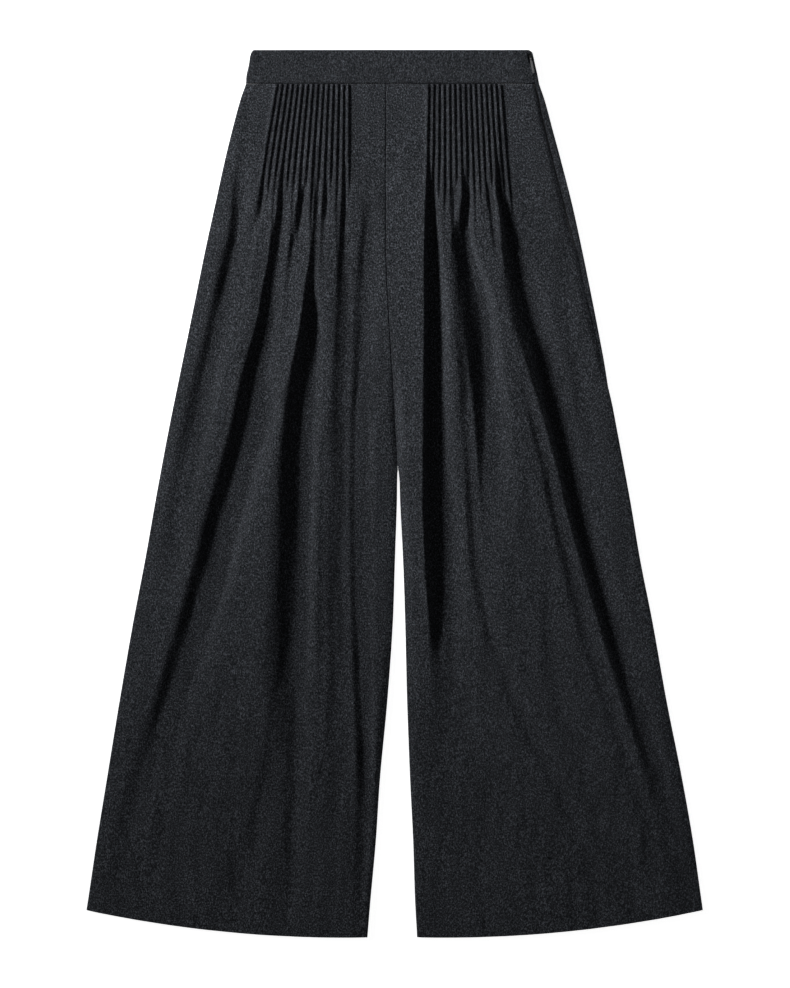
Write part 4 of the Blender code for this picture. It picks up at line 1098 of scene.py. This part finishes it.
    def hollows(self, drop: Array, edges: Array, from_zip: Array) -> Array:
        """Height that the puckers and the seams' hollows add, or take off.

        Args:
            drop: drop of every point.
            edges: how far every point is from the nearer edge.
            from_zip: how far it is from the highest X.

        Returns:
            The height, rows by columns.
        """
        rows = self.rows
        height, width = self.pucker
        wave = height * np.sin(drop / 2.6 + 1.3 * np.sin(drop / 17.0))
        pucker = wave * np.exp(-((edges - width) / width) ** 2) * ease((drop - 50.0) / 20.0)
        depth, width = self.waist_hollow
        found = pucker - depth * np.exp(-((drop - rows[0]) / width) ** 2)
        if self.leg is Leg.LEFT:
            depth, width = self.zip_hollow
            beside_zip = np.exp(-((from_zip - 1.0) / width) ** 2)
            found -= depth * beside_zip * (1.0 - to_side_seam(rows))[:, None]
        return found

    def build(self) -> bpy.types.Object:
        """Makes the panel as a closed wall of cloth.

        Returns:
            The panel's object.
        """
        rows = self.rows
        low = settled(lambda drop: self.ends(drop)[0], rows)
        high = settled(lambda drop: self.ends(drop)[1], rows)
        wraps = self.wraps()
        rolls = [mix(SEAM_ROLL, EDGE_ROLL, wrap) for wrap in wraps]
        x, count = self.places(low + rolls[0], high - rolls[1])
        drop = rows[:, None] - hem_lift(x, rows[:, None])
        form = self.form(x, drop)
        from_hollow = (x - Outline.centre(drop) - HOLLOW_ASIDE) / HOLLOW_WIDTH
        form = form - Relief.seam_hollow(drop) * np.exp(-(from_hollow**2))
        from_high = high[:, None] - x
        edges = np.minimum(x - low[:, None], from_high)
        outer = form + self.tucks(count, drop)
        outer += ease(edges / self.calm) * (rippled(x, drop) - creased(x, drop, CREASES))
        outer += self.hollows(drop, edges, from_high)
        hem_edge = LENGTH - HEM_ALLOWANCE - self.hem_step / 2.0
        cloth = mix(CLOTH, HEM_CLOTH, ease((rows - hem_edge) / self.hem_step))
        slope = np.gradient(form, axis=1) / np.gradient(x, axis=1)
        depth = cloth[:, None] * np.minimum(np.sqrt(1.0 + slope**2), self.steepest)
        lowest = back_top(drop) + SEAM_GAP + 0.05
        inner = np.clip(form - depth, lowest, outer - self.least)
        outer -= (end_rounding(rows, rows[0], 1.2) + end_rounding(rows, LENGTH, 1.0))[:, None]
        return Shell(self.name, *edged(rows, x, (outer, inner), (low, high), wraps)).build()


@dataclass
class BackPanel(ClothPiece):
    """One back of the trousers, or the back of the waistband, lying flat on the surface."""

    top: float
    bottom: float
    legs: tuple[Leg, Leg]  # whose edge is at low X, and whose at high X
    lipped: bool  # the zip side turns up and over to the front
    band: bool
    rows_down: int = 190
    columns: int = 64
    lip_steps: int = 9
    lip_radius: float = 2.15
    lip_width: float = 2.2  # what the flat part leaves for the lip
    fork_run: float = 8.0  # length above the fork over which the inner edges part
    calm: float = 10.0  # width beside the edges that stays smooth
    rounding: float = 0.5  # of the top and bottom edges

    def ends(self, rows: Array) -> tuple[Array, Array]:
        """X of the panel's two edges on each row."""
        below = ease((rows - FORK_DROP + self.fork_run) / self.fork_run)
        apart = 0.0 if self.band else BACK_INSET * below
        aside = SEAM_ASIDE * (1.0 - below)
        low_leg, high_leg = self.legs
        if self.band or low_leg is Leg.RIGHT:
            low = settled(lambda d: Outline.side_edge(Leg.RIGHT, d), rows) + BACK_INSET
        else:
            low = settled(lambda d: Outline.inner_edge(Leg.LEFT, d), rows) + apart + aside
        if high_leg is Leg.RIGHT:
            return low, settled(lambda d: Outline.inner_edge(Leg.RIGHT, d), rows) - apart + aside
        high = settled(lambda d: Outline.side_edge(Leg.LEFT, d), rows)
        return low, high - (0.0 if self.band else BACK_INSET * to_side_seam(rows))

    def build(self) -> bpy.types.Object:
        """Makes the panel as a closed wall of cloth, its outer side down.

        Returns:
            The panel's object.
        """
        near = np.array([0.2, 0.5, 0.9])
        rows = np.linspace(self.top, self.bottom, self.rows_down)
        rows = np.unique(np.concatenate([rows, self.top + near, self.bottom - near]))
        low, high = self.ends(rows)
        cloth = np.full_like(rows, BAND_BACK) if self.band else back_top(rows)
        flat = high - (self.lip_width if self.lipped else 0.0)
        x = mix(low[:, None], flat[:, None], np.linspace(0.0, 1.0, self.columns)[None, :])
        drop = rows[:, None] - hem_lift(x, rows[:, None])
        calm = ease((x - low[:, None]) / self.calm) * ease((flat[:, None] - x) / self.calm)
        lifted = calm * creased(x, drop, BACK_CREASES) * (0.0 if self.band else 1.0)
        fall = sum(end_rounding(rows, end, self.rounding) for end in (self.top, self.bottom))
        fall = 0.6 * fall  # on each side of the wall
        sides = [
            [np.stack([x, lifted + height[:, None]], axis=-1)] for height in (fall, cloth - fall)
        ]
        if self.lipped:
            for side, tip in zip(sides, self.lip(rows, high, cloth)):
                side.append(tip)
        return Shell(self.name, *(laid(rows, side) for side in sides), faces_down=True).build()

    def lip(self, rows: Array, high: Array, cloth: Array) -> tuple[Array, Array]:
        """The part that turns up at the zip side and lies over towards the front.

        Args:
            rows: the rows' drops.
            high: X of the garment's edge on each row.
            cloth: thickness of the wall on each row.

        Returns:
            Its outer and inner (x, z) points, rows by points.
        """
        gone = np.zeros_like(rows) if self.band else to_side_seam(rows)
        top = np.full_like(rows, BAND_HEIGHT) if self.band else mix(LIP_HEIGHT, cloth + SEAM_GAP, gone)
        wall = np.minimum(BAND_CLOTH if self.band else CLOTH, 0.42 * top)
        wrap = mix(Outline.wrap(rows), 2.3, gone)
        angle = np.linspace(-math.pi / 2.0, math.pi / 2.0, self.lip_steps)[None, :]
        radius_x = np.minimum(top / 2.0, self.lip_radius)
        radius_z = top / 2.0
        end_x = (high - np.maximum(wrap, radius_x + 0.05))[:, None]
        sides = []
        for less in (np.zeros_like(rows), wall):
            arc_x = (high - radius_x)[:, None] + (radius_x - less)[:, None] * np.cos(angle)
            arc_z = radius_z[:, None] + (radius_z - less)[:, None] * np.sin(angle)
            x = np.concatenate([arc_x, end_x], axis=1)
            z = np.concatenate([arc_z, (top - less)[:, None]], axis=1)
            sides.append(np.stack([x, z], axis=-1))
        return sides[0], sides[1]


@dataclass
class WaistbandFront(ClothPiece):
    """The front half of the waistband, doubled and pressed, open at the zip side."""

    bottom: float = BAND_DROP - SEAM_GAP / 2.0
    columns: int = 190
    rows_down: int = 34
    notch: tuple[float, float, float] = (5.2, 16.8, 4.5)  # start, end and depth, for the slider
    notch_run: float = 0.6  # length over which the notch reaches its depth
    swell: float = 70.0  # width over which the band rises from its closed side
    seam_hollow: tuple[float, float] = (0.35, 2.4)  # along the waist seam: depth and width
    top_hollow: tuple[float, float] = (0.25, 2.0)  # along the top edge
    calm: float = 12.0  # width beside the ends that stays smooth

    def build(self) -> bpy.types.Object:
        """Makes the half band as a closed wall of cloth.

        Returns:
            Its object.
        """
        near = np.array([0.15, 0.35, 0.65, 1.0, 1.5])
        start, end, depth = self.notch
        cuts = np.array([at + step for at in (start, end) for step in (-0.4, 0.0, 0.4)])
        evenly = np.linspace(0.0, self.bottom, self.rows_down)
        rows = np.unique(np.concatenate([evenly, near, self.bottom - near, cuts]))
        low = Outline.side_edge(Leg.RIGHT, rows)
        notched = ease((rows - start) / self.notch_run + 0.5) * ease((end - rows) / self.notch_run + 0.5)
        high = Outline.zip_seam(rows) - SEAM_GAP - depth * notched
        share = np.linspace(0, 1, self.columns)[None, :]
        x = mix((low + EDGE_ROLL)[:, None], (high - SEAM_ROLL)[:, None], share)
        drop = np.broadcast_to(rows[:, None], x.shape)
        height = mix(BAND_SIDE_HEIGHT, BAND_HEIGHT, ease((x - low[:, None]) / self.swell))
        for (hollow, width), line in ((self.seam_hollow, self.bottom), (self.top_hollow, 0.0)):
            height = height - hollow * np.exp(-((line - drop) / width) ** 2)
        long_wave = 0.10 * np.sin(x / 11.0 + 0.8 * np.sin(drop / 9.0))
        short_wave = 0.07 * np.sin(x / 4.3 + drop / 15.0)
        edges = np.minimum(x - low[:, None], high[:, None] - x)
        height = height + (long_wave + short_wave) * ease(edges / self.calm)
        fall = (end_rounding(rows, 0.0, 0.95) + end_rounding(rows, self.bottom, 1.6))[:, None]
        sides = (height - fall, height - BAND_CLOTH + 0.5 * fall)
        wraps = (np.ones_like(rows), np.zeros_like(rows))
        return Shell(self.name, *edged(rows, x, sides, (low, high), wraps)).build()


@dataclass
class SideZip:
    """The zip behind the side seam: its tape, its closed chain, its slider and its pull tab."""

    start: float = 17.2
    end: float = 245.0
    bottom: float = 1.9
    top: float = 2.75
    reach_in: float = 12.0
    reach_out: float = 0.7
    tape_rows: int = 150
    tape_columns: int = 40
    rib_height: float = 0.06
    rib_width: float = 1.1
    selvedge_height: float = 0.1
    selvedge_inset: float = 0.8
    selvedge_width: float = 0.5
    pitch: float = 1.5  # of the chain
    chain_inset: float = 4.0  # of the chain from the tape's two ends
    chain_aside: float = -0.9  # the chain's middle, from the seam
    tooth: tuple[float, float, float] = (2.6, 0.75, 0.7)  # across, along, up
    tooth_stagger: float = 0.25  # how far the two sides' teeth lie apart across the chain
    tooth_sunk: float = 0.25  # how far a tooth's foot lies under the tape's top
    edge_radius: float = 0.12  # of the metal pieces

    def tape(self) -> bpy.types.Object:
        """The woven tape, with raised selvedge and ribs along the chain."""
        rows = np.linspace(self.start, self.end, self.tape_rows)
        seam = Outline.zip_seam(rows)
        low, high = seam - self.reach_in, seam + self.reach_out
        share = np.linspace(0.0, 1.0, self.tape_columns)[None, :]
        x = mix(low[:, None], high[:, None], share)
        drop = np.broadcast_to(rows[:, None], x.shape)
        across = x - seam[:, None]
        ribs = self.rib_height * np.sin(across * 2.0 * math.pi / self.rib_width)
        from_selvedge = across + self.reach_in - self.selvedge_inset
        selvedge = self.selvedge_height * np.exp(-((from_selvedge / self.selvedge_width) ** 2))
        outer = np.stack([x, drop, self.top + ribs + selvedge], axis=-1)
        inner = np.stack([x, drop, np.full_like(x, self.bottom)], axis=-1)
        return Shell("zip_tape_cloth", outer, inner).build()

    def chain(self) -> bpy.types.Object:
        """The closed chain: teeth from both sides, one after the other, each a bent bar."""
        points, faces = [], []
        across, along, up = self.tooth
        section = ((-0.31, 0.0), (0.31, 0.0), (0.1984, 1.0), (-0.1984, 1.0))  # along and up
        count = int((self.end - self.start - 2.0 * self.chain_inset) / self.pitch * 2)
        for number in range(count):
            drop = self.start + self.chain_inset + number * self.pitch / 2.0
            aside = self.tooth_stagger * (1.0 if number % 2 else -1.0)
            middle = float(Outline.zip_seam(np.array(drop))) + self.chain_aside + aside
            base = len(points)
            for share, bulge in ((-0.5, 0.45), (-0.3, 1.0), (0.3, 1.0), (0.5, 0.45)):
                for a, b in section:
                    y = LENGTH / 2.0 - drop - a * along
                    z = self.top - self.tooth_sunk + b * up * bulge
                    points.append(((middle + share * across) * MM, y * MM, z * MM))
            for ring in range(3):
                for i in range(4):
                    a, b = base + 4 * ring + i, base + 4 * ring + (i + 1) % 4
                    faces.append((a, b, b + 4, a + 4))
            faces.append((base + 3, base + 2, base + 1, base))
            faces.append((base + 12, base + 13, base + 14, base + 15))
        return make_object("zip_chain", points, faces, 50.0)

    def dress(self, tape: bpy.types.Object, chain: bpy.types.Object) -> None:
        """Puts the tape and the chain on the trousers, in place of the plain strip."""
        for piece in (tape, chain):
            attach(piece, "trousers")
            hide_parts("side_zip")

    def soften(self, node: str) -> bpy.types.Object:
        """Rounds the cast edges of one of the zip's metal pieces."""
        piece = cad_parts[node]
        round_off = piece.modifiers.new("cast_edges", "BEVEL")
        round_off.width = self.edge_radius * MM
        round_off.segments = 3
        round_off.limit_method = "ANGLE"
        round_off.angle_limit = math.radians(35.0)
        round_off.harden_normals = False
        return piece


class Value:
    """A socket's value in a material, on which sums are written as plain expressions."""

    def __init__(self, graph: "Graph", socket: bpy.types.NodeSocket) -> None:
        """Keeps the graph and the socket."""
        self.graph = graph
        self.socket = socket

    def math(self, operation: str, *others: "Value | float", first: bool = True) -> "Value":
        """This value and others, through one Math node.

        Args:
            operation: the node's operation.
            others: its other operands.
            first: False where this value is the second operand.

        Returns:
            The node's result.
        """
        operands = [self, *others] if first else [*others, self]
        sockets = dict(enumerate(operands))
        return self.graph.node("ShaderNodeMath", {"operation": operation}, sockets)

    def __add__(self, other: "Value | float") -> "Value":
        """This plus other."""
        return self.math("ADD", other)

    def __sub__(self, other: "Value | float") -> "Value":
        """This minus other."""
        return self.math("SUBTRACT", other)

    def __mul__(self, other: "Value | float") -> "Value":
        """This times other."""
        return self.math("MULTIPLY", other)

    def __truediv__(self, other: "Value | float") -> "Value":
        """This over other."""
        return self.math("DIVIDE", other)

    def __pow__(self, other: "Value | float") -> "Value":
        """This to a power."""
        return self.math("POWER", other)

    def __radd__(self, other: float) -> "Value":
        """other plus this."""
        return self.math("ADD", other)

    def __rmul__(self, other: float) -> "Value":
        """other times this."""
        return self.math("MULTIPLY", other)

    def __rsub__(self, other: float) -> "Value":
        """other minus this."""
        return self.math("SUBTRACT", other, first=False)

    def between(self, low: float, high: float) -> "Value":
        """0 at low and 1 at high, smooth and held outside them."""
        settings = {"interpolation_type": "SMOOTHSTEP"}
        sockets = {"Value": self, "From Min": low, "From Max": high}
        return self.graph.node("ShaderNodeMapRange", settings, sockets, "Result")


class Graph:
    """One material's nodes, around a Principled shader."""

    def __init__(self, name: str) -> None:
        """Makes the material.

        Args:
            name: the finish's name.
        """
        self.material = bpy.data.materials.new(name)
        self.material.use_nodes = True
        self.tree = self.material.node_tree
        self.shader = self.tree.nodes["Principled BSDF"]

    def node(
        self,
        kind: str,
        settings: dict[str, object],
        sockets: dict[str | int, object],
        output: str | int = 0,
    ) -> Value:
        """Makes one node.

        Args:
            kind: the node's type.
            settings: its properties, such as an operation, set first.
            sockets: values or links of its inputs, by name or by number.
            output: which of its outputs is wanted.

        Returns:
            The output's value.
        """
        made = self.tree.nodes.new(kind)
        for name, value in settings.items():
            setattr(made, name, value)
        for key, value in sockets.items():
            self.feed(made.inputs[key], value)
        return Value(self, made.outputs[output])

    def feed(self, socket: bpy.types.NodeSocket, value: object) -> None:
        """Links or sets one socket."""
        if isinstance(value, Value):
            self.tree.links.new(value.socket, socket)
        else:
            socket.default_value = value

    def place(self, scale: tuple[float, float, float], turn: float = 0.0) -> Value:
        """The piece's own coordinates in metres, scaled and turned about Z."""
        where = self.node("ShaderNodeTexCoord", {}, {}, "Object")
        sockets = {"Vector": where, "Scale": scale, "Rotation": (0.0, 0.0, turn)}
        return self.node("ShaderNodeMapping", {}, sockets, "Vector")

    def noise(self, at: Value, scale: float, detail: float = 2.0, rough: float = 0.5) -> Value:
        """A noise's value."""
        sockets = {"Vector": at, "Scale": scale, "Detail": detail, "Roughness": rough}
        return self.node("ShaderNodeTexNoise", {}, sockets, "Fac")

    def blend(self, share: Value | float, a: object, b: object) -> Value:
        """Colour a where share is 0, and b where it is 1."""
        settings = {"data_type": "RGBA"}
        sockets = {"Factor": share, 6: a, 7: b}
        return self.node("ShaderNodeMix", settings, sockets, 2)

    def times(self, a: object, b: object) -> Value:
        """One colour times another."""
        settings = {"data_type": "RGBA", "blend_type": "MULTIPLY"}
        return self.node("ShaderNodeMix", settings, {"Factor": 1.0, 6: a, 7: b}, 2)

    def bump(self, height: Value, distance: float, strength: float) -> Value:
        """A normal from a height."""
        sockets = {"Height": height, "Distance": distance, "Strength": strength}
        return self.node("ShaderNodeBump", {}, sockets, "Normal")

    def set(self, **values: object) -> None:
        """Feeds the shader's sockets, named with underscores for spaces."""
        for name, value in values.items():
            self.feed(self.shader.inputs[name.replace("_", " ")], value)


def rgba(colour: Colour, times: float = 1.0) -> tuple[float, float, float, float]:
    """A colour with full alpha, made lighter or darker."""
    return (colour[0] * times, colour[1] * times, colour[2] * times, 1.0)


@dataclass(frozen=True)
class Flannel:
    """Charcoal melange wool flannel: mixed dark and pale fibres, a hidden twill, a short nap, and painted
    shade on slopes that face the light.
    """

    name: str
    colour: Colour = (0.0325, 0.0352, 0.0408)
    turn: float = 0.0  # of the weave, in radians
    fibre_scale: float = 640.0
    dark: float = 0.12  # the darkest fibres, as a share of the colour
    pale: float = 4.5  # the palest fibres, likewise
    dark_fibres: Range = (0.30, 0.52)  # of the fibres' noise
    pale_fibres: Range = (0.50, 0.72)
    flecks: Range = (0.63, 0.76)
    clouds: Range = (0.86, 1.12)  # how dark and how pale the cloth is from place to place
    twill: float = 1100.0
    twill_turn: float = math.radians(63.0)
    nap: float = 0.10
    nap_tint: Colour = (0.75, 0.8, 0.9)
    lit_slope_shade: float = 0.78  # painted shade: what is left of the colour on slopes that turn towards the key light at -X
    lit_slope_span: Range = (-0.35, 0.0)  # normal's X, from slopes turned fully towards the key light to cloth without painted shade

    def make(self) -> bpy.types.Material:
        """Makes the material."""
        graph = Graph(self.name)
        fibres = graph.noise(graph.place((1.0, 0.74, 1.0), self.turn), self.fibre_scale, 2.0, 0.62)
        fleck_at = graph.place((1.0, 0.5, 1.0), self.turn + 0.5)
        flecks = graph.noise(fleck_at, self.fibre_scale * 1.3, 1.0, 0.5)
        clouds = graph.noise(graph.place((1.0, 0.35, 1.0), self.turn), 34.0, 3.0, 0.55)
        base = graph.blend(
            fibres.between(*self.dark_fibres), rgba(self.colour, self.dark), rgba(self.colour)
        )
        base = graph.blend(fibres.between(*self.pale_fibres), base, rgba(self.colour, self.pale))
        fleck = rgba(self.colour, self.pale * 1.6)
        base = graph.blend(flecks.between(*self.flecks) * 0.8, base, fleck)
        shade = graph.blend(clouds.between(0.25, 0.75), *(rgba(WHITE, tone) for tone in self.clouds))
        # Painted shade: the colour darkens where the normal turns towards -X, the key light's side, to damp
        # the lit slopes.
        normal = graph.node("ShaderNodeNewGeometry", {}, {}, "Normal")
        across = {0: normal, 1: (1.0, 0.0, 0.0)}
        normal_x = graph.node("ShaderNodeVectorMath", {"operation": "DOT_PRODUCT"}, across, "Value")
        painted_slope_shade = graph.blend(normal_x.between(*self.lit_slope_span), rgba(WHITE, self.lit_slope_shade), rgba(WHITE))
        weave_at = graph.place((self.twill, self.twill, self.twill), self.turn + self.twill_turn)
        weave = graph.node(
            "ShaderNodeTexWave", {"wave_profile": "SIN"},
            {"Vector": weave_at, "Scale": 1.0, "Distortion": 2.5, "Detail": 1.0}, "Fac",
        )
        height = fibres * 0.8 + flecks * 0.3 + weave * 0.18
        graph.set(
            Base_Color=graph.times(graph.times(base, shade), painted_slope_shade),
            Roughness=fibres.between(0.2, 0.8) * -0.1 + 0.98,
            Normal=graph.bump(height, 0.00035, 0.5),
            Specular_IOR_Level=0.12,
            Sheen_Weight=self.nap,
            Sheen_Roughness=0.6,
            Sheen_Tint=rgba(self.nap_tint),
        )
        return graph.material


@dataclass(frozen=True)
class ZipTape:
    """Black polyester tape, woven in a fine herringbone."""

    name: str = "zip_tape_weave"
    colour: Colour = (0.009, 0.009, 0.010)

    def make(self) -> bpy.types.Material:
        """Makes the material."""
        graph = Graph(self.name)
        grain = graph.noise(graph.place((1.0, 3.0, 1.0)), 900.0, 2.0)
        at = graph.place((900.0, 900.0, 900.0), math.radians(45.0))
        ribs = graph.node("ShaderNodeTexWave", {"wave_profile": "SIN"}, {"Vector": at, "Scale": 1.0}, "Fac")
        graph.set(
            Base_Color=graph.blend(grain, rgba(self.colour, 0.6), rgba(self.colour, 1.8)),
            Roughness=grain * 0.2 + 0.7,
            Normal=graph.bump(ribs + grain * 0.4, 0.0002, 0.5),
            Specular_IOR_Level=0.25,
        )
        return graph.material


@dataclass(frozen=True)
class Coil:
    """Smooth black nylon of the zip's chain."""

    name: str = "zip_coil_nylon"
    colour: Colour = (0.012, 0.012, 0.013)

    def make(self) -> bpy.types.Material:
        """Makes the material."""
        graph = Graph(self.name)
        wear = graph.noise(graph.place((1.0, 1.0, 1.0)), 420.0, 3.0)
        graph.set(
            Base_Color=graph.blend(wear, rgba(self.colour, 0.8), rgba(self.colour, 1.9)),
            Roughness=wear * 0.25 + 0.25,
        )
        return graph.material


@dataclass(frozen=True)
class Lacquer:
    """Grey lacquer on die-cast metal, a little rubbed."""

    name: str
    colour: Colour

    def make(self) -> bpy.types.Material:
        """Makes the material."""
        graph = Graph(self.name)
        rub = graph.noise(graph.place((1.0, 0.25, 1.0)), 1500.0, 3.0, 0.6)
        cast = graph.noise(graph.place((1.0, 1.0, 1.0)), 380.0, 2.0)
        graph.set(
            Base_Color=graph.blend(rub.between(0.4, 0.75), rgba(self.colour, 0.85), rgba(self.colour, 1.35)),
            Roughness=rub * 0.2 + 0.3,
            Metallic=0.25,
            Normal=graph.bump(cast, 0.00006, 0.35),
        )
        return graph.material


@dataclass(frozen=True)
class Lamp:
    """A rectangular soft light."""

    name: str
    size: tuple[float, float]
    power: float
    spread: float  # degrees
    aim: tuple[float, float, float]


@dataclass(frozen=True)
class Studio:
    """A white sweep, a gridded soft light from the wearer's right, and the camera straight above."""

    picture: tuple[int, int] = (790, 988)
    pixel: float = 1.2265 * MM  # size of the picture's pixel on the garment
    sensor: float = 36.0
    height: float = 5.0  # of the camera
    aside: tuple[float, float] = (0.0006, -0.0003)  # the photo's centre, from the garment's
    key_turn: float = math.radians(166.0)  # where the light stands, from +X towards +Y
    key_rise: float = math.radians(21.0)
    key_distance: float = 5.0
    keys: tuple[Lamp, ...] = (
        Lamp("key_wide", (1.3, 1.0), 118.0, 180.0, (0.25, 0.5, 0.0)),
        Lamp("key_gridded", (0.8, 0.7), 5.1, 28.0, (0.5, 0.55, 0.0)),
    )
    fill: float = 0.045
    floor_reach: float = 12.0
    floor_below: float = 0.0004  # how far the floor lies under the cloth

    def camera(self) -> None:
        """The camera, looking straight down."""
        data = bpy.data.cameras.new("camera")
        data.sensor_width = self.sensor
        data.lens = self.sensor * self.height / (self.picture[1] * self.pixel)
        eye = bpy.data.objects.new("camera", data)
        eye.location = (*self.aside, self.height)
        bpy.context.scene.collection.objects.link(eye)
        bpy.context.scene.camera = eye

    def light(self) -> None:
        """The key lights, all from one side, and an even fill from all round."""
        flat = self.key_distance * math.cos(self.key_rise)
        away = Vector((
            flat * math.cos(self.key_turn),
            flat * math.sin(self.key_turn),
            self.key_distance * math.sin(self.key_rise),
        ))
        for lamp in self.keys:
            data = bpy.data.lights.new(lamp.name, "AREA")
            data.shape = "RECTANGLE"
            data.size, data.size_y = lamp.size
            data.energy = lamp.power
            data.spread = math.radians(lamp.spread)
            stand = bpy.data.objects.new(lamp.name, data)
            stand.location = Vector(lamp.aim) + away
            stand.rotation_euler = (-away).to_track_quat("-Z", "Y").to_euler()
            bpy.context.scene.collection.objects.link(stand)
        world = bpy.data.worlds.new("studio")
        world.use_nodes = True
        back = world.node_tree.nodes["Background"]
        back.inputs["Color"].default_value = rgba(WHITE)
        back.inputs["Strength"].default_value = self.fill
        bpy.context.scene.world = world

    def floor(self) -> None:
        """The white surface that the garment lies on."""
        half = self.floor_reach
        data = bpy.data.meshes.new("floor")
        corners = [(-half, -half, 0.0), (half, -half, 0.0), (half, half, 0.0), (-half, half, 0.0)]
        data.from_pydata(corners, [], [(0, 1, 2, 3)])
        surface = bpy.data.objects.new("floor", data)
        surface.location.z = -self.floor_below
        bpy.context.scene.collection.objects.link(surface)
        graph = Graph("white_floor")
        graph.set(
            Base_Color=rgba(WHITE, 0.85),
            Roughness=0.9,
            Emission_Color=rgba(WHITE),
            Emission_Strength=0.95,
        )
        data.materials.append(graph.material)
        surface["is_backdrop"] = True

    def build(self) -> None:
        """Sets the floor, the lights, the camera and the picture's colours."""
        self.camera()
        self.light()
        self.floor()
        bpy.context.scene.view_settings.view_transform = "Standard"


def paint(piece: bpy.types.Object, material: bpy.types.Material) -> None:
    """Gives a piece one material in place of what it has."""
    piece.data.materials.clear()
    piece.data.materials.append(material)


def cloth_area(piece: bpy.types.Object) -> float:
    """Half the surface of a closed thin wall, in square metres."""
    return sum(face.area for face in piece.data.polygons) / 2.0


def main() -> None:
    """Builds the trousers' pieces over the frame and reports each."""
    logging.basicConfig(level=logging.INFO, format="%(name)s: %(message)s", stream=sys.stdout)
    Studio().build()
    cloth = Flannel("flannel").make()
    band_cloth = Flannel("waistband_flannel", turn=math.radians(90.0), pale=3.3).make()
    tape_weave, coil = ZipTape().make(), Coil().make()
    lacquers = {
        "zip_slider": Lacquer("slider_lacquer", (0.035, 0.034, 0.033)).make(),
        "zip_pull_tab": Lacquer("tab_lacquer", (0.24, 0.24, 0.245)).make(),
    }

    top, bottom = BAND_DROP + SEAM_GAP / 2.0, BAND_DROP - SEAM_GAP / 2.0
    backs = {}
    for leg in Leg:
        panel = BackPanel(
            f"back_{leg.value}_cloth", f"back_{leg.value}_leg", "flannel", BACK_CUTS[leg],
            top, LENGTH, (leg, leg), lipped=leg is Leg.LEFT, band=False,
        )
        backs[leg] = panel.build()
        panel.dress(backs[leg], cloth)
    for leg in Leg:
        names = (f"front_{leg.value}_cloth", f"front_{leg.value}_leg", "flannel")
        panel = FrontPanel(*names, FRONT_CUTS[leg], leg)
        panel.dress(panel.build(), cloth, backs[leg])
    band_back = BackPanel(
        "waistband_back_cloth", "waistband_back", "waistband_flannel", BAND_BACK_CUT,
        0.0, bottom, tuple(Leg), lipped=True, band=True, rows_down=30, columns=150,
    )
    behind = band_back.build()
    band_back.dress(behind, band_cloth)
    band = WaistbandFront("waistband_front_cloth", "waistband_front", "waistband_flannel", BAND_FRONT_CUT)
    band.dress(band.build(), band_cloth, behind)

    closure = SideZip()
    tape, chain = closure.tape(), closure.chain()
    closure.dress(tape, chain)
    paint(tape, tape_weave)
    paint(chain, coil)
    for node, lacquer in lacquers.items():
        paint(closure.soften(node), lacquer)

    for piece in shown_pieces():
        triangles = sum(len(face.vertices) - 2 for face in piece.data.polygons)
        log.info("%s: %d triangles, %.4f square metres", piece.name, triangles, cloth_area(piece))
    sizes = {"cad": CAD_BOX, "visual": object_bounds()}
    {name: [list(corner) for corner in box] for name, box in sizes.items()}


if __name__ == "__main__":
    main()
